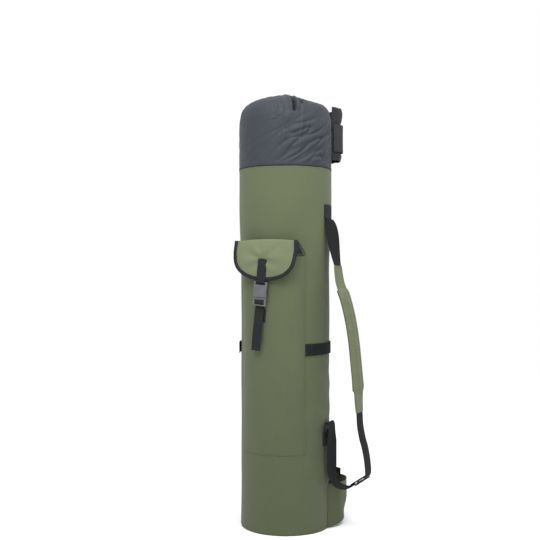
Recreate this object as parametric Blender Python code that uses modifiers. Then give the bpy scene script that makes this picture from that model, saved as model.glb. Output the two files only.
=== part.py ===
"""Rod case: a padded upright fabric tube for fishing rods, with a gathered drawcord mouth, a patch
pocket under a buckled flap, rod pockets and rod wraps outside, and a padded shoulder strap.

Metres, +Z up. The origin is the centre of the base on the floor, and the front faces -Y.
An azimuth is in degrees round the tube, from the front (-Y) towards +X.
"""

import math

import bmesh
import bpy
from mathutils import Matrix, Vector

# Driving dimensions of the tube.
TUBE_RADIUS = 0.0975
TUBE_RADIUS_TOP = 0.102
TAPER_START, TAPER_END = 0.55, 0.72
SEAM_HEIGHT = 0.785
COVER_THICKNESS = 0.0012
GAP = 0.0003
BASE_THICKNESS = 0.002
BOARD_THICKNESS = 0.003
FOAM_THICKNESS = 0.005
FOAM_TOP = 0.893
LINING_THICKNESS = 0.0008
TURNED_STEPS = 40

# The gathered collar and its drawcord.
COLLAR_THICKNESS = 0.001
MOUTH_RADIUS = 0.0215
HEM_RING_RADIUS = 0.0165
HEM_HEIGHT = 0.9455
HEM_SECTION_RADIUS = 0.004
CORD_RADIUS = 0.0016
CORD_SPACING = 0.0024
LOCK_Y = 0.062
LOCK_Z = 0.9485
LOCK_RADIUS = 0.0065
LOCK_TRAVEL = 0.003

# The patch pocket, its flap and the side-release buckle.
POCKET_AZIMUTH, POCKET_HALF_ANGLE = -21.0, 45.0
POCKET_BOTTOM, POCKET_TOP = 0.17, 0.585
POCKET_DEPTH_LOW, POCKET_DEPTH_TOP = 0.003, 0.0115
FLAP_AZIMUTH = -21.5
FLAP_RADIUS = 0.1145
FLAP_TOP, FLAP_BOTTOM = 0.626, 0.54
FLAP_HALF_WIDTH_TOP, FLAP_HALF_WIDTH = 0.075, 0.071
FLAP_OVAL_HEIGHT, FLAP_OVAL_POWER = 0.050, 2.2
FLAP_SEWN_HEIGHT = 0.597
FLAP_LAYER = 0.0008
BINDING_WIDTH, BINDING_THICKNESS = 0.0045, 0.0028
WEBBING_THICKNESS = 0.0012
SMALL_WEBBING = 0.020
BUCKLE_BACK = 0.1115
BUCKLE_SIDE, BUCKLE_HEIGHT = -0.014, 0.5052
BUCKLE_LEAN = 5.0
BUCKLE_HALF_WIDTH, BUCKLE_DEPTH = 0.015, 0.0085
SOCKET_LENGTH = 0.033
LADDER_LENGTH = 0.0185
TAIL_END = -0.113

# The rod stations: a pocket for the butt at the floor and a wrap for the blank at the collar.
BAND_HEIGHT, BAND_WIDTH = 0.3925, 0.025
BAND_START, BAND_END = 24.6, 278.0
ROD_POCKET_TOP = 0.0975
ROD_POCKETS = {"right": (115.0, 35.0, 0.0425, 0.050), "back": (214.0, 30.0, 0.032, 0.036)}
ROD_WRAPS = {"right": (107.0, 20.0, 0.028), "back": (211.0, 18.0, 0.024)}
WRAP_BOTTOM, WRAP_TOP = 0.807, 0.930
WRAP_STRAP_BOTTOM, WRAP_STRAP_TOP = 0.826, 0.887
WRAP_SHEET = 0.0012

# The shoulder strap, drawn in the upright plane at its own azimuth: (radius, height) points.
STRAP_AZIMUTH = 65.0
STRAP_WEBBING = 0.038
STRAP_PAD_WIDTH, STRAP_PAD_THICKNESS = 0.060, 0.011
SWING_RADIUS = 0.1035
UPPER_WEBBING = [(0.1088, 0.658), (0.1125, 0.640), (0.1165, 0.612), (0.1215, 0.583), (0.1240, 0.5735)]
UPPER_STUB = [(0.1046, 0.6718), (0.1060, 0.667), (0.1080, 0.6595)]
UPPER_TAB = [(0.1243, 0.572), (0.1270, 0.550), (0.1300, 0.5345), (0.1325, 0.5265)]
PAD_LINE = [
    (0.1335, 0.524), (0.1438, 0.498), (0.1545, 0.455), (0.1616, 0.4125),
    (0.1663, 0.3695), (0.1705, 0.3266), (0.1717, 0.300),
]
LOWER_TAB = [(0.1717, 0.2985), (0.1718, 0.2837), (0.1727, 0.270), (0.1735, 0.259)]
GLIDE_RUN = ((0.1905, 0.1225), (0.1560, 0.0985))
LOWER_WEBBING = [
    (0.1737, 0.2575), (0.1753, 0.230), (0.1800, 0.205), (0.1852, 0.187), (0.1898, 0.165),
    (0.1922, 0.1460), (0.1930, 0.1345), (0.1924, 0.1270), GLIDE_RUN[0], GLIDE_RUN[1],
    (0.1480, 0.0952), (0.1390, 0.0945), (0.1280, 0.0970), (0.1190, 0.1030), (0.1130, 0.1120),
    (0.1108, 0.1250), (0.1104, 0.150), (0.1104, 0.175), (0.1106, 0.196),
]
RING_LOOP = [
    (0.1106, 0.1975), (0.1104, 0.2225), (0.1090, 0.2300), (0.1072, 0.2333),
    (0.1050, 0.2341), (0.1028, 0.2333), (0.1017, 0.2310), (0.1017, 0.2265),
]
RING_BARS = (0.2155, 0.2305)
RING_RADIUS_FROM_AXIS = 0.1050
RING_WIRE = 0.00175
RING_HALF_WIDTH = 0.0215
GLIDE_FROM_RUN_TOP = 0.014
GLIDE_LENGTH, GLIDE_WIDTH, GLIDE_THICKNESS = 0.021, 0.048, 0.0026

COLORS = {
    "olive": ((0.122, 0.150, 0.088, 1), 0.85),
    "collar_grey": ((0.075, 0.080, 0.090, 1), 0.6),
    "black_webbing": ((0.026, 0.027, 0.029, 1), 0.8),
    "binding_black": ((0.03, 0.031, 0.033, 1), 0.75),
    "buckle_plastic": ((0.06, 0.063, 0.07, 1), 0.4),
    "lining": ((0.05, 0.052, 0.055, 1), 0.8),
    "foam": ((0.35, 0.35, 0.34, 1), 0.95),
    "board": ((0.08, 0.08, 0.08, 1), 0.6),
    "spring_steel": ((0.55, 0.55, 0.55, 1), 0.3),
}


def clear_scene():
    for obj in list(bpy.data.objects):
        bpy.data.objects.remove(obj, do_unlink=True)


def new_collection(name):
    collection = bpy.data.collections.new(name)
    bpy.context.scene.collection.children.link(collection)
    return collection


def material(node_name, kind):
    """Each sub-part has a material of its own, in one of the case's few finishes."""
    color, roughness = COLORS[kind]
    made = bpy.data.materials.new(node_name)
    made.use_nodes = True
    shader = made.node_tree.nodes["Principled BSDF"]
    shader.inputs["Base Color"].default_value = color
    shader.inputs["Roughness"].default_value = roughness
    shader.inputs["Metallic"].default_value = 1.0 if kind == "spring_steel" else 0.0
    return made


def at(azimuth, radius, z):
    """The point at an azimuth, a distance from the tube's axis and a height."""
    angle = math.radians(azimuth)
    return Vector((radius * math.sin(angle), -radius * math.cos(angle), z))


def local_frame(azimuth, radius, height, side=0.0, lean=0.0):
    """A frame whose -Y faces out at an azimuth: X along the tangent, Z up, leaned in its own plane."""
    turn = Matrix.Rotation(math.radians(azimuth), 4, "Z")
    place = Matrix.Translation(turn @ Vector((side, -radius, 0)) + Vector((0, 0, height)))
    return place @ turn @ Matrix.Rotation(math.radians(lean), 4, "Y")


def tube_radius(z):
    """The cover's outer radius: the tube flares a little towards its seam."""
    t = min(max((z - TAPER_START) / (TAPER_END - TAPER_START), 0.0), 1.0)
    return TUBE_RADIUS + (TUBE_RADIUS_TOP - TUBE_RADIUS) * t * t * (3 - 2 * t)


def add_object(name, mesh, kind, collection=None):
    obj = bpy.data.objects.new(name, mesh)
    (collection or parts).objects.link(obj)
    if kind:
        mesh.materials.append(material(name, kind))
    return obj


def smooth(obj):
    obj.data.shade_smooth()
    obj.data.set_sharp_from_angle(angle=math.radians(40))


def solidify(obj, thickness, offset=1.0):
    modifier = obj.modifiers.new("thickness", "SOLIDIFY")
    modifier.thickness = thickness
    modifier.offset = offset
    modifier.use_even_offset = True


def sheet(name, kind, columns, rows, place, thickness, offset=1.0):
    """A closed sheet. place(s, t) puts a grid in space, s along azimuth or width and t upwards,
    and Solidify thickens it outwards, or to both sides with an offset of 0."""
    mesh = bpy.data.meshes.new(name)
    grid = bmesh.new()
    bmesh.ops.create_grid(grid, x_segments=columns, y_segments=rows, size=0.5)
    for vertex in grid.verts:
        vertex.co = place(vertex.co.x + 0.5, vertex.co.y + 0.5)
    grid.to_mesh(mesh)
    grid.free()
    obj = add_object(name, mesh, kind)
    solidify(obj, thickness, offset)
    smooth(obj)
    return obj


def turned(name, kind, profile, thickness=0.0, steps=TURNED_STEPS):
    """A (radius, height) profile turned about Z. An open profile runs top to bottom and gets a thickness."""
    mesh = bpy.data.meshes.new(name)
    edges = [(i, i + 1) for i in range(len(profile) - 1)]
    mesh.from_pydata([(r, 0, z) for r, z in profile], edges, [])
    obj = add_object(name, mesh, kind)
    screw = obj.modifiers.new("turn", "SCREW")
    screw.steps = screw.render_steps = steps
    screw.use_merge_vertices = True
    screw.merge_threshold = 0.00001
    screw.use_smooth_shade = True
    if thickness:
        solidify(obj, thickness, -1.0)
    return obj


def box(name, kind, low, high, frame, bevel=0.0, collection=None):
    mesh = bpy.data.meshes.new(name)
    cube = bmesh.new()
    size = Vector(high) - Vector(low)
    centre = (Vector(high) + Vector(low)) / 2
    bmesh.ops.create_cube(cube, size=1.0, matrix=Matrix.Translation(centre) @ Matrix.Diagonal((*size, 1)))
    cube.to_mesh(mesh)
    cube.free()
    obj = add_object(name, mesh, kind, collection)
    obj.matrix_world = frame
    if bevel:
        modifier = obj.modifiers.new("rounding", "BEVEL")
        modifier.width = bevel
        modifier.segments = 2
    return obj


def cylinder(name, kind, radius, start, end, frame, collection=None, segments=20):
    """A cylinder along its frame's X axis, from start to end."""
    mesh = bpy.data.meshes.new(name)
    made = bmesh.new()
    along_x = Matrix.Translation(((start + end) / 2, 0, 0)) @ Matrix.Rotation(math.pi / 2, 4, "Y")
    bmesh.ops.create_cone(
        made, cap_ends=True, segments=segments, radius1=radius, radius2=radius, depth=end - start,
        matrix=along_x,
    )
    made.to_mesh(mesh)
    made.free()
    obj = add_object(name, mesh, kind, collection)
    obj.matrix_world = frame
    return obj


def cut(obj, cutter, operation="DIFFERENCE"):
    cutter.hide_render = True
    cutter.display_type = "WIRE"
    modifier = obj.modifiers.new(cutter.name, "BOOLEAN")
    modifier.operation = operation
    modifier.object = cutter


def cut_box(obj, label, low, high, frame, operation="DIFFERENCE"):
    cut(obj, box(f"{obj.name}_{label}", None, low, high, frame, collection=cutters), operation)


def wire(name, kind, points, radius, closed=False, resolution=2):
    """A round wire or cord along a list of points."""
    curve = bpy.data.curves.new(name, "CURVE")
    curve.dimensions = "3D"
    spline = curve.splines.new("POLY")
    spline.points.add(len(points) - 1)
    for point, place in zip(spline.points, points):
        point.co = (*place, 1)
    spline.use_cyclic_u = closed
    curve.bevel_depth = radius
    curve.bevel_resolution = resolution
    curve.use_fill_caps = True
    obj = bpy.data.objects.new(name, curve)
    parts.objects.link(obj)
    curve.materials.append(material(name, kind))
    return obj


def outline_plate(name, kind, loops, thickness, frame):
    """A flat plate from 2D loops, the first the outside and the others holes, centred on its frame's XY."""
    curve = bpy.data.curves.new(name, "CURVE")
    curve.dimensions = "2D"
    curve.fill_mode = "BOTH"
    curve.extrude = thickness / 2
    for loop in loops:
        spline = curve.splines.new("POLY")
        spline.points.add(len(loop) - 1)
        for point, place in zip(spline.points, loop):
            point.co = (*place, 0, 1)
        spline.use_cyclic_u = True
    obj = bpy.data.objects.new(name, curve)
    parts.objects.link(obj)
    curve.materials.append(material(name, kind))
    obj.matrix_world = frame
    return obj


def make_mesh(obj):
    """Turns a curve object into a welded mesh of the same name and place, so that it can be cut."""
    bpy.context.view_layer.update()
    mesh = bpy.data.meshes.new_from_object(obj.evaluated_get(bpy.context.evaluated_depsgraph_get()))
    welded = bmesh.new()
    welded.from_mesh(mesh)
    bmesh.ops.remove_doubles(welded, verts=welded.verts, dist=0.00001)
    welded.to_mesh(mesh)
    welded.free()
    name, place = obj.name, obj.matrix_world.copy()
    bpy.data.objects.remove(obj)
    made = bpy.data.objects.new(name, mesh)
    parts.objects.link(made)
    made.matrix_world = place
    return made


def rounded_rectangle(half_x, half_y, radius, steps=4):
    """The corners of a rounded rectangle, counter-clockwise."""
    points = []
    for corner, (sx, sy) in enumerate([(1, 1), (-1, 1), (-1, -1), (1, -1)]):
        for i in range(steps + 1):
            angle = math.radians(90 * corner + 90 * i / steps)
            x = sx * (half_x - radius) + radius * math.cos(angle)
            y = sy * (half_y - radius) + radius * math.sin(angle)
            points.append((x, y))
    return points


def empty(name, place):
    """An empty on a joint's axis: its moving pieces are its children."""
    obj = bpy.data.objects.new(name, None)
    obj.empty_display_size = 0.02
    obj.location = place
    parts.objects.link(obj)
    return obj


def carry(parent, *children):
    bpy.context.view_layer.update()
    for child in children:
        child.parent = parent
        child.matrix_parent_inverse = parent.matrix_world.inverted()


def smooth_path(points, per_span):
    """A smooth Catmull-Rom curve through hand-placed points."""
    padded = [points[0], *points, points[-1]]
    path = []
    for p0, p1, p2, p3 in zip(padded, padded[1:], padded[2:], padded[3:]):
        for i in range(per_span):
            t = i / per_span
            point = []
            for a, b, c, d in zip(p0, p1, p2, p3):
                square, cube = 2 * a - 5 * b + 4 * c - d, 3 * b - a - 3 * c + d
                point.append(0.5 * (2 * b + (c - a) * t + square * t**2 + cube * t**3))
            path.append(tuple(point))
    return [*path, points[-1]]


def strap_path(line, per_span):
    """A strap's smooth middle line, kept straight along the run that the slider moves on."""
    if GLIDE_RUN[0] not in line:
        return smooth_path(line, per_span)
    split = line.index(GLIDE_RUN[0])
    return smooth_path(line[:split + 1], per_span) + smooth_path(line[split + 1:], per_span)


def strap_ribbon(name, kind, line, width, thickness, per_span=3, end_width=None):
    """A flat strap whose middle line lies in the strap's upright plane. Its width crosses that plane."""
    path = strap_path(line, per_span)
    across = at(STRAP_AZIMUTH + 90, 1, 0)

    def place(s, t):
        radius, z = path[round(t * (len(path) - 1))]
        wide = width + ((end_width or width) - width) * t
        return at(STRAP_AZIMUTH, radius, z) + across * (s - 0.5) * wide

    return sheet(name, kind, 2, len(path) - 1, place, thickness, 0.0)


# ---------------------------------------------------------------- the tube

def build_tube():
    heights = [SEAM_HEIGHT, 0.74, TAPER_END, 0.68, 0.635, 0.59, TAPER_END - 0.17, 0.30, 0.0]
    turned("outer_cover", "olive", [(tube_radius(z), z) for z in heights], COVER_THICKNESS)
    inside = TUBE_RADIUS - COVER_THICKNESS - GAP
    turned("base_panel", "olive", [(0, BASE_THICKNESS), (inside, BASE_THICKNESS), (inside, 0), (0, 0)])
    low, high = BASE_THICKNESS + GAP, BASE_THICKNESS + GAP + BOARD_THICKNESS
    turned("base_board", "board", [(0, high), (inside, high), (inside, low), (0, low)])

    foam_low = high + GAP
    foam_heights = [FOAM_TOP, 0.80, 0.77, TAPER_END, 0.68, 0.635, 0.59, TAPER_START, foam_low]

    def foam_radius(z):
        """Just inside the cover, and a little further in where the collar takes over."""
        return min(tube_radius(z) - COVER_THICKNESS - GAP, 0.0992)

    turned("foam_liner", "foam", [(foam_radius(z), z) for z in foam_heights], FOAM_THICKNESS)
    wall = [(foam_radius(z) - FOAM_THICKNESS - GAP, z) for z in foam_heights[:-1]]
    floor_edge = wall[-1][0]
    turned("inner_lining", "lining", [*wall, (floor_edge, foam_low), (0, foam_low)], LINING_THICKNESS)


# ---------------------------------------------------------------- the collar and its drawcord

def collar_profile():
    return [
        (MOUTH_RADIUS, HEM_HEIGHT + 0.001), (0.032, 0.9465), (0.045, 0.9445), (0.062, 0.9405), (0.078, 0.934),
        (0.089, 0.9255), (0.0965, 0.913), (0.1003, 0.895), (0.1015, 0.86), (0.102, SEAM_HEIGHT + GAP),
    ]


def build_collar():
    turned("collar", "collar_grey", collar_profile(), COLLAR_THICKNESS)
    slit = [math.radians(250 - 320 * i / 12) for i in range(13)]
    section = [
        (HEM_RING_RADIUS + HEM_SECTION_RADIUS * math.cos(a), HEM_HEIGHT + HEM_SECTION_RADIUS * math.sin(a))
        for a in slit
    ]
    hem = turned("mouth_hem", "collar_grey", section, 0.0008, steps=32)
    hem_frame = Matrix.Translation((0, 0, HEM_HEIGHT))
    cut_box(hem, "cord_exit", (-0.0085, 0.004, -0.01), (0.0085, 0.03, 0.01), hem_frame)

    lift = CORD_RADIUS + 0.0008
    route = [
        (CORD_SPACING, LOCK_Y + 0.003, LOCK_Z), (CORD_SPACING, LOCK_Y - 0.010, LOCK_Z),
        (CORD_SPACING, 0.045, 0.9448 + lift), (CORD_SPACING, 0.034, 0.9464 + lift),
        (CORD_SPACING, 0.0250, HEM_HEIGHT + 0.0042), (0.0028, 0.0210, HEM_HEIGHT + 0.0040),
        (0.0034, 0.0182, HEM_HEIGHT + 0.0015),
    ]
    turn_start, turns = 25, 26
    ring = []
    for i in range(turns + 1):
        azimuth = 180 - turn_start - (360 - 2 * turn_start) * i / turns
        ring.append(tuple(at(azimuth, HEM_RING_RADIUS, HEM_HEIGHT)))
    mirrored = [(-x, y, z) for x, y, z in reversed(route)]
    wire("drawcord", "black_webbing", [*route, *ring, *mirrored], CORD_RADIUS)


def build_cord_lock():
    """A barrel lock lying across the two cords, its button pressed towards -X against a spring."""
    frame = Matrix.Translation((0, LOCK_Y, LOCK_Z))
    body = cylinder("cord_lock_body", "buckle_plastic", LOCK_RADIUS, -0.013, 0.009, frame)
    cut(body, cylinder("lock_bore", None, 0.005, -0.0115, 0.02, frame, cutters))
    cut_box(body, "cord_hole", (-0.0046, -0.01, -0.0021), (0.0046, 0.01, 0.0021), frame)
    button = cylinder("cord_lock_button", "buckle_plastic", 0.0046, -0.0062, 0.0130, frame)
    cut_box(button, "cord_slot", (-0.0046, -0.01, -0.0021), (0.0046 + LOCK_TRAVEL, 0.01, 0.0021), frame)
    smooth(body)
    smooth(button)
    turns, points_per_turn, length = 3, 8, 0.0046
    coil = []
    for i in range(turns * points_per_turn + 1):
        angle = 2 * math.pi * i / points_per_turn
        x = -0.0111 + length * i / (turns * points_per_turn)
        coil.append((x, LOCK_Y + 0.0033 * math.cos(angle), LOCK_Z + 0.0033 * math.sin(angle)))
    wire("cord_lock_spring", "spring_steel", coil, 0.0003, resolution=1)
    pivot = empty("cord_lock_button_slide", (0, LOCK_Y, LOCK_Z))
    carry(pivot, button)


# ---------------------------------------------------------------- the pocket and its flap

def bulge(x, power):
    """1 in the middle of a span from -1 to 1, and 0 at both ends."""
    return 1 - abs(x) ** power


def build_pocket():
    def radius(s, t):
        depth = POCKET_DEPTH_LOW + (POCKET_DEPTH_TOP - POCKET_DEPTH_LOW) * t**1.5
        return depth * bulge(2 * s - 1, 6) * (1 - (1 - t) ** 10)

    def place(s, t):
        azimuth = POCKET_AZIMUTH + POCKET_HALF_ANGLE * math.sin((s - 0.5) * math.pi)
        across = (azimuth - POCKET_AZIMUTH) / POCKET_HALF_ANGLE / 2 + 0.5
        up = 1 - math.cos(t * math.pi / 2)
        z = POCKET_BOTTOM + (POCKET_TOP - POCKET_BOTTOM) * up
        return at(azimuth, tube_radius(z) + 0.0006 + radius(across, up), z)

    sheet("pocket_panel", "olive", 16, 8, place, 0.001)

    def hem(s, t):
        azimuth = POCKET_AZIMUTH + POCKET_HALF_ANGLE * 0.97 * (2 * s - 1)
        z = POCKET_TOP + GAP + 0.007 * t
        return at(azimuth, tube_radius(z) + 0.0004 + radius(0.015 + 0.97 * s, 1.0), z)

    sheet("pocket_mouth_hem", "olive", 16, 1, hem, 0.0016)


def flap_outline(inset):
    """Half of the flap's outline, from its top corner down its side and round its oval end."""
    half, tall, bottom = FLAP_HALF_WIDTH - inset, FLAP_OVAL_HEIGHT - inset, FLAP_BOTTOM + inset
    points = [(FLAP_HALF_WIDTH_TOP - inset, FLAP_TOP), (half + 0.001, 0.604)]
    steps, last_angle = 7, 80
    for i in range(steps + 1):
        angle = math.radians(last_angle * i / steps)
        across = math.cos(angle) ** (2 / FLAP_OVAL_POWER)
        down = math.sin(angle) ** (2 / FLAP_OVAL_POWER)
        points.append((half * across, bottom + tall - tall * down))
    return [*points, (0.006, bottom)]


def flap_sheet(name, kind, inset, radius, thickness):
    """One layer of the flap: rows between the outline's two halves, from the bottom edge up to the fold."""
    half = flap_outline(inset)[:-1][::-1]
    frame = local_frame(FLAP_AZIMUTH, radius, 0)

    def place(s, t):
        side, z = half[round(t * (len(half) - 1))]
        return frame @ Vector(((2 * s - 1) * side, 0, z))

    return sheet(name, kind, 6, len(half) - 1, place, thickness)


def build_flap():
    lining = flap_sheet("flap_lining", "lining", BINDING_WIDTH + GAP, FLAP_RADIUS, FLAP_LAYER)
    outer = FLAP_RADIUS + FLAP_LAYER + GAP
    panel = flap_sheet("flap_panel", "olive", BINDING_WIDTH + GAP, outer, FLAP_LAYER)

    rims = [flap_outline(0.0), flap_outline(BINDING_WIDTH)]
    rims = [[*rim, *[(-side, z) for side, z in rim[::-1]]] for rim in rims]
    frame = local_frame(FLAP_AZIMUTH, FLAP_RADIUS - 0.0004, 0)

    def rim_place(s, t):
        """s runs round the flap's edge from +X to -X, and t inwards."""
        i = round(s * (len(rims[0]) - 1))
        (x0, z0), (x1, z1) = rims[0][i], rims[1][i]
        return frame @ Vector((x0 + (x1 - x0) * t, 0, z0 + (z1 - z0) * t))

    binding = sheet("flap_binding", "binding_black", len(rims[0]) - 1, 1, rim_place, -BINDING_THICKNESS)

    fold = local_frame(FLAP_AZIMUTH, FLAP_RADIUS - 0.0025, FLAP_TOP + 0.0005)

    def back_place(s, t):
        """The strip between the tube, where the flap is sewn on, and the straight fold."""
        sewn_azimuth = POCKET_AZIMUTH + POCKET_HALF_ANGLE * (2 * s - 1)
        sewn = at(sewn_azimuth, tube_radius(FLAP_SEWN_HEIGHT) + 0.0006, FLAP_SEWN_HEIGHT)
        folded = fold @ Vector(((2 * s - 1) * FLAP_HALF_WIDTH_TOP, 0, 0))
        return sewn.lerp(folded, t)

    sheet("flap_back", "olive", 12, 3, back_place, FLAP_LAYER)
    return lining, panel, binding


# ---------------------------------------------------------------- the side-release buckle

def buckle_ribbon(name, line, width):
    """Webbing in the buckle's frame: (depth, height) points, depth growing inwards."""
    frame = local_frame(FLAP_AZIMUTH, BUCKLE_BACK, BUCKLE_HEIGHT, BUCKLE_SIDE, BUCKLE_LEAN)

    def place(s, t):
        depth, z = line[round(t * (len(line) - 1))]
        return frame @ Vector(((s - 0.5) * width, depth, z))

    return sheet(name, "black_webbing", 2, len(line) - 1, place, WEBBING_THICKNESS, 0.0)


def wrapped_bar(centre, radius, start, end, steps=6):
    """Points round a bar, in the (depth, height) plane, from one angle to another."""
    angles = [math.radians(start + (end - start) * i / steps) for i in range(steps + 1)]
    return [(centre[0] + radius * math.cos(a), centre[1] + radius * math.sin(a)) for a in angles]


def build_buckle():
    frame = local_frame(FLAP_AZIMUTH, BUCKLE_BACK, BUCKLE_HEIGHT, BUCKLE_SIDE, BUCKLE_LEAN)
    half, deep = BUCKLE_HALF_WIDTH, BUCKLE_DEPTH

    plastic = "buckle_plastic"
    socket = box("buckle_socket", plastic, (-half, -deep, 0), (half, 0, SOCKET_LENGTH), frame, 0.0012)
    cut_box(socket, "cavity", (-half + 0.0011, -deep + 0.0016, -0.01), (half - 0.0011, 0.01, 0.0235), frame)
    cut_box(socket, "windows", (-0.03, -deep + 0.0016, 0.0060), (0.03, 0.01, 0.0178), frame)
    cut_box(socket, "slot", (-0.0108, -0.02, 0.0262), (0.0108, 0.01, 0.0293), frame)
    cut_box(socket, "front_step", (-0.0108, -0.02, 0.0280), (0.0108, -0.0048, 0.05), frame)
    cut_box(socket, "back_step", (-0.0108, -0.0022, 0.0280), (0.0108, 0.01, 0.05), frame)

    plug_low, plug_high = (-half, -deep + 0.002, -LADDER_LENGTH), (half, -0.001, -GAP)
    plug = box("buckle_plug", plastic, plug_low, plug_high, frame, 0.0010)
    cut_box(plug, "slot_low", (-0.0108, -0.02, -0.0155), (0.0108, 0.01, -0.0118), frame)
    cut_box(plug, "slot_high", (-0.0108, -0.02, -0.0088), (0.0108, 0.01, -0.0048), frame)
    cut_box(plug, "tongue", (-0.0016, -0.0058, -0.002), (0.0016, -0.0025, 0.0185), frame, "UNION")

    prong_half = [
        (0.0048, 0.0002), (0.0098, 0.0002), (0.0102, 0.0050), (0.0134, 0.0085), (0.0134, 0.0135),
        (0.0110, 0.0172), (0.0085, 0.0205), (0.0055, 0.0205), (0.0066, 0.0150), (0.0066, 0.0060),
    ]
    upright = Matrix.Rotation(math.pi / 2, 4, "X")
    prongs = []
    for side, sign in (("left", -1), ("right", 1)):
        loop = [(sign * x, z) for x, z in prong_half][::sign]
        plate_frame = frame @ Matrix.Translation((0, -0.0042, 0)) @ upright
        prong = make_mesh(outline_plate(f"buckle_prong_{side}", plastic, [loop], 0.0032, plate_frame))
        pivot = empty(f"buckle_prong_{side}_hinge", frame @ Vector((sign * 0.0073, -0.0042, 0.0002)))
        carry(pivot, prong)
        prongs.append(pivot)

    strap_front = -0.0065
    bar = (-0.0035, 0.0311)
    flap_webbing = buckle_ribbon(
        "flap_webbing",
        [(strap_front, 0.0815), (strap_front, 0.060), (strap_front, 0.0311)]
        + wrapped_bar(bar, 0.0030, 200, 340)[1:] + [(-0.0006, 0.0345)],
        SMALL_WEBBING,
    )
    tail = buckle_ribbon(
        "adjuster_tail",
        [(0.0003, -0.0112), (0.0003, -0.0075), (-0.0003, -0.0068), (-0.0068, -0.0068), (-0.0074, -0.0075),
         (-0.0074, -0.0130), (-0.0068, -0.0137), (-0.0003, -0.0137), (0.0003, -0.0144), (0.0003, -0.0200),
         (-0.0010, -0.0300), (-0.0030, -0.0600), (-0.0040, TAIL_END)],
        SMALL_WEBBING,
    )

    def anchor(s, t):
        """The end of the webbing that is sewn to the pocket, behind the tail."""
        local = frame @ Vector(((s - 0.5) * SMALL_WEBBING + 0.003, 0, -0.052 + 0.026 * t))
        azimuth = math.degrees(math.atan2(local.x, -local.y))
        height = (local.z - POCKET_BOTTOM) / (POCKET_TOP - POCKET_BOTTOM)
        depth = POCKET_DEPTH_LOW + (POCKET_DEPTH_TOP - POCKET_DEPTH_LOW) * height**1.5
        return at(azimuth, tube_radius(local.z) + 0.0006 + depth + 0.0014, local.z)

    sheet("pocket_anchor_webbing", "black_webbing", 3, 3, anchor, 0.0010)
    return socket, plug, prongs, flap_webbing, tail


# ---------------------------------------------------------------- the rod stations

def build_rod_stations():
    def band(s, t):
        azimuth = BAND_START + (BAND_END - BAND_START) * s
        slack = 0.0006 + 0.0032 * math.sin(math.pi * s) ** 2 + 0.0025 * s**6
        return at(azimuth, TUBE_RADIUS + slack, BAND_HEIGHT + BAND_WIDTH * (t - 0.5))

    sheet("mid_band", "black_webbing", 40, 1, band, 0.0013)

    for side, (azimuth, half_angle, depth_low, depth_top) in ROD_POCKETS.items():
        def pocket(s, t, azimuth=azimuth, half_angle=half_angle, depth_low=depth_low, depth_top=depth_top):
            """The first row lies on the tube, the second turns up the wall from the pocket's own floor."""
            x = math.sin((s - 0.5) * math.pi)
            row = max(round(t * 6) - 1, 0) / 5
            depth = (depth_low + (depth_top - depth_low) * row) * bulge(x, 2.2)
            if t < 0.01:
                depth = 0.0
            z = 0.0014 + (ROD_POCKET_TOP - 0.0014) * row
            return at(azimuth + half_angle * x, TUBE_RADIUS + 0.0006 + depth, z)

        sheet(f"rod_pocket_{side}", "olive", 16, 6, pocket, 0.001)

    def tab(s, t):
        pocket_azimuth, _, _, depth_top = ROD_POCKETS["right"]
        azimuth = pocket_azimuth + 5 + 9 * (s - 0.5)
        return at(azimuth, TUBE_RADIUS + depth_top - 0.0062, ROD_POCKET_TOP - 0.006 + 0.019 * t)

    sheet("rod_pocket_tab", "black_webbing", 3, 2, tab, 0.0012)

    collar_radius = TUBE_RADIUS_TOP
    pivots = {}
    for side, (azimuth, half_angle, depth) in ROD_WRAPS.items():
        def wrap(s, t, azimuth=azimuth, half_angle=half_angle, depth=depth, stand=0.0006,
                 low=WRAP_BOTTOM, high=WRAP_TOP, reach=1.0):
            x = math.sin((s - 0.5) * math.pi)
            radius = collar_radius + stand + depth * bulge(x * reach, 2.4)
            return at(azimuth + half_angle * x, radius, low + (high - low) * t)

        sheet(f"rod_wrap_{side}", "collar_grey", 14, 2, wrap, WRAP_SHEET)

        def strap(s, t, wrap=wrap):
            stand = 0.0006 + WRAP_SHEET + 0.0006
            return wrap(s, t, stand=stand, low=WRAP_STRAP_BOTTOM, high=WRAP_STRAP_TOP, reach=0.97)

        moving = sheet(f"rod_wrap_strap_{side}", "black_webbing", 14, 1, strap, 0.0012)
        hinge = at(azimuth + half_angle, collar_radius + 0.0035, (WRAP_STRAP_BOTTOM + WRAP_STRAP_TOP) / 2)
        pivots[side] = empty(f"rod_wrap_strap_{side}_hinge", hinge)
        carry(pivots[side], moving)


# ---------------------------------------------------------------- the shoulder strap

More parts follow.
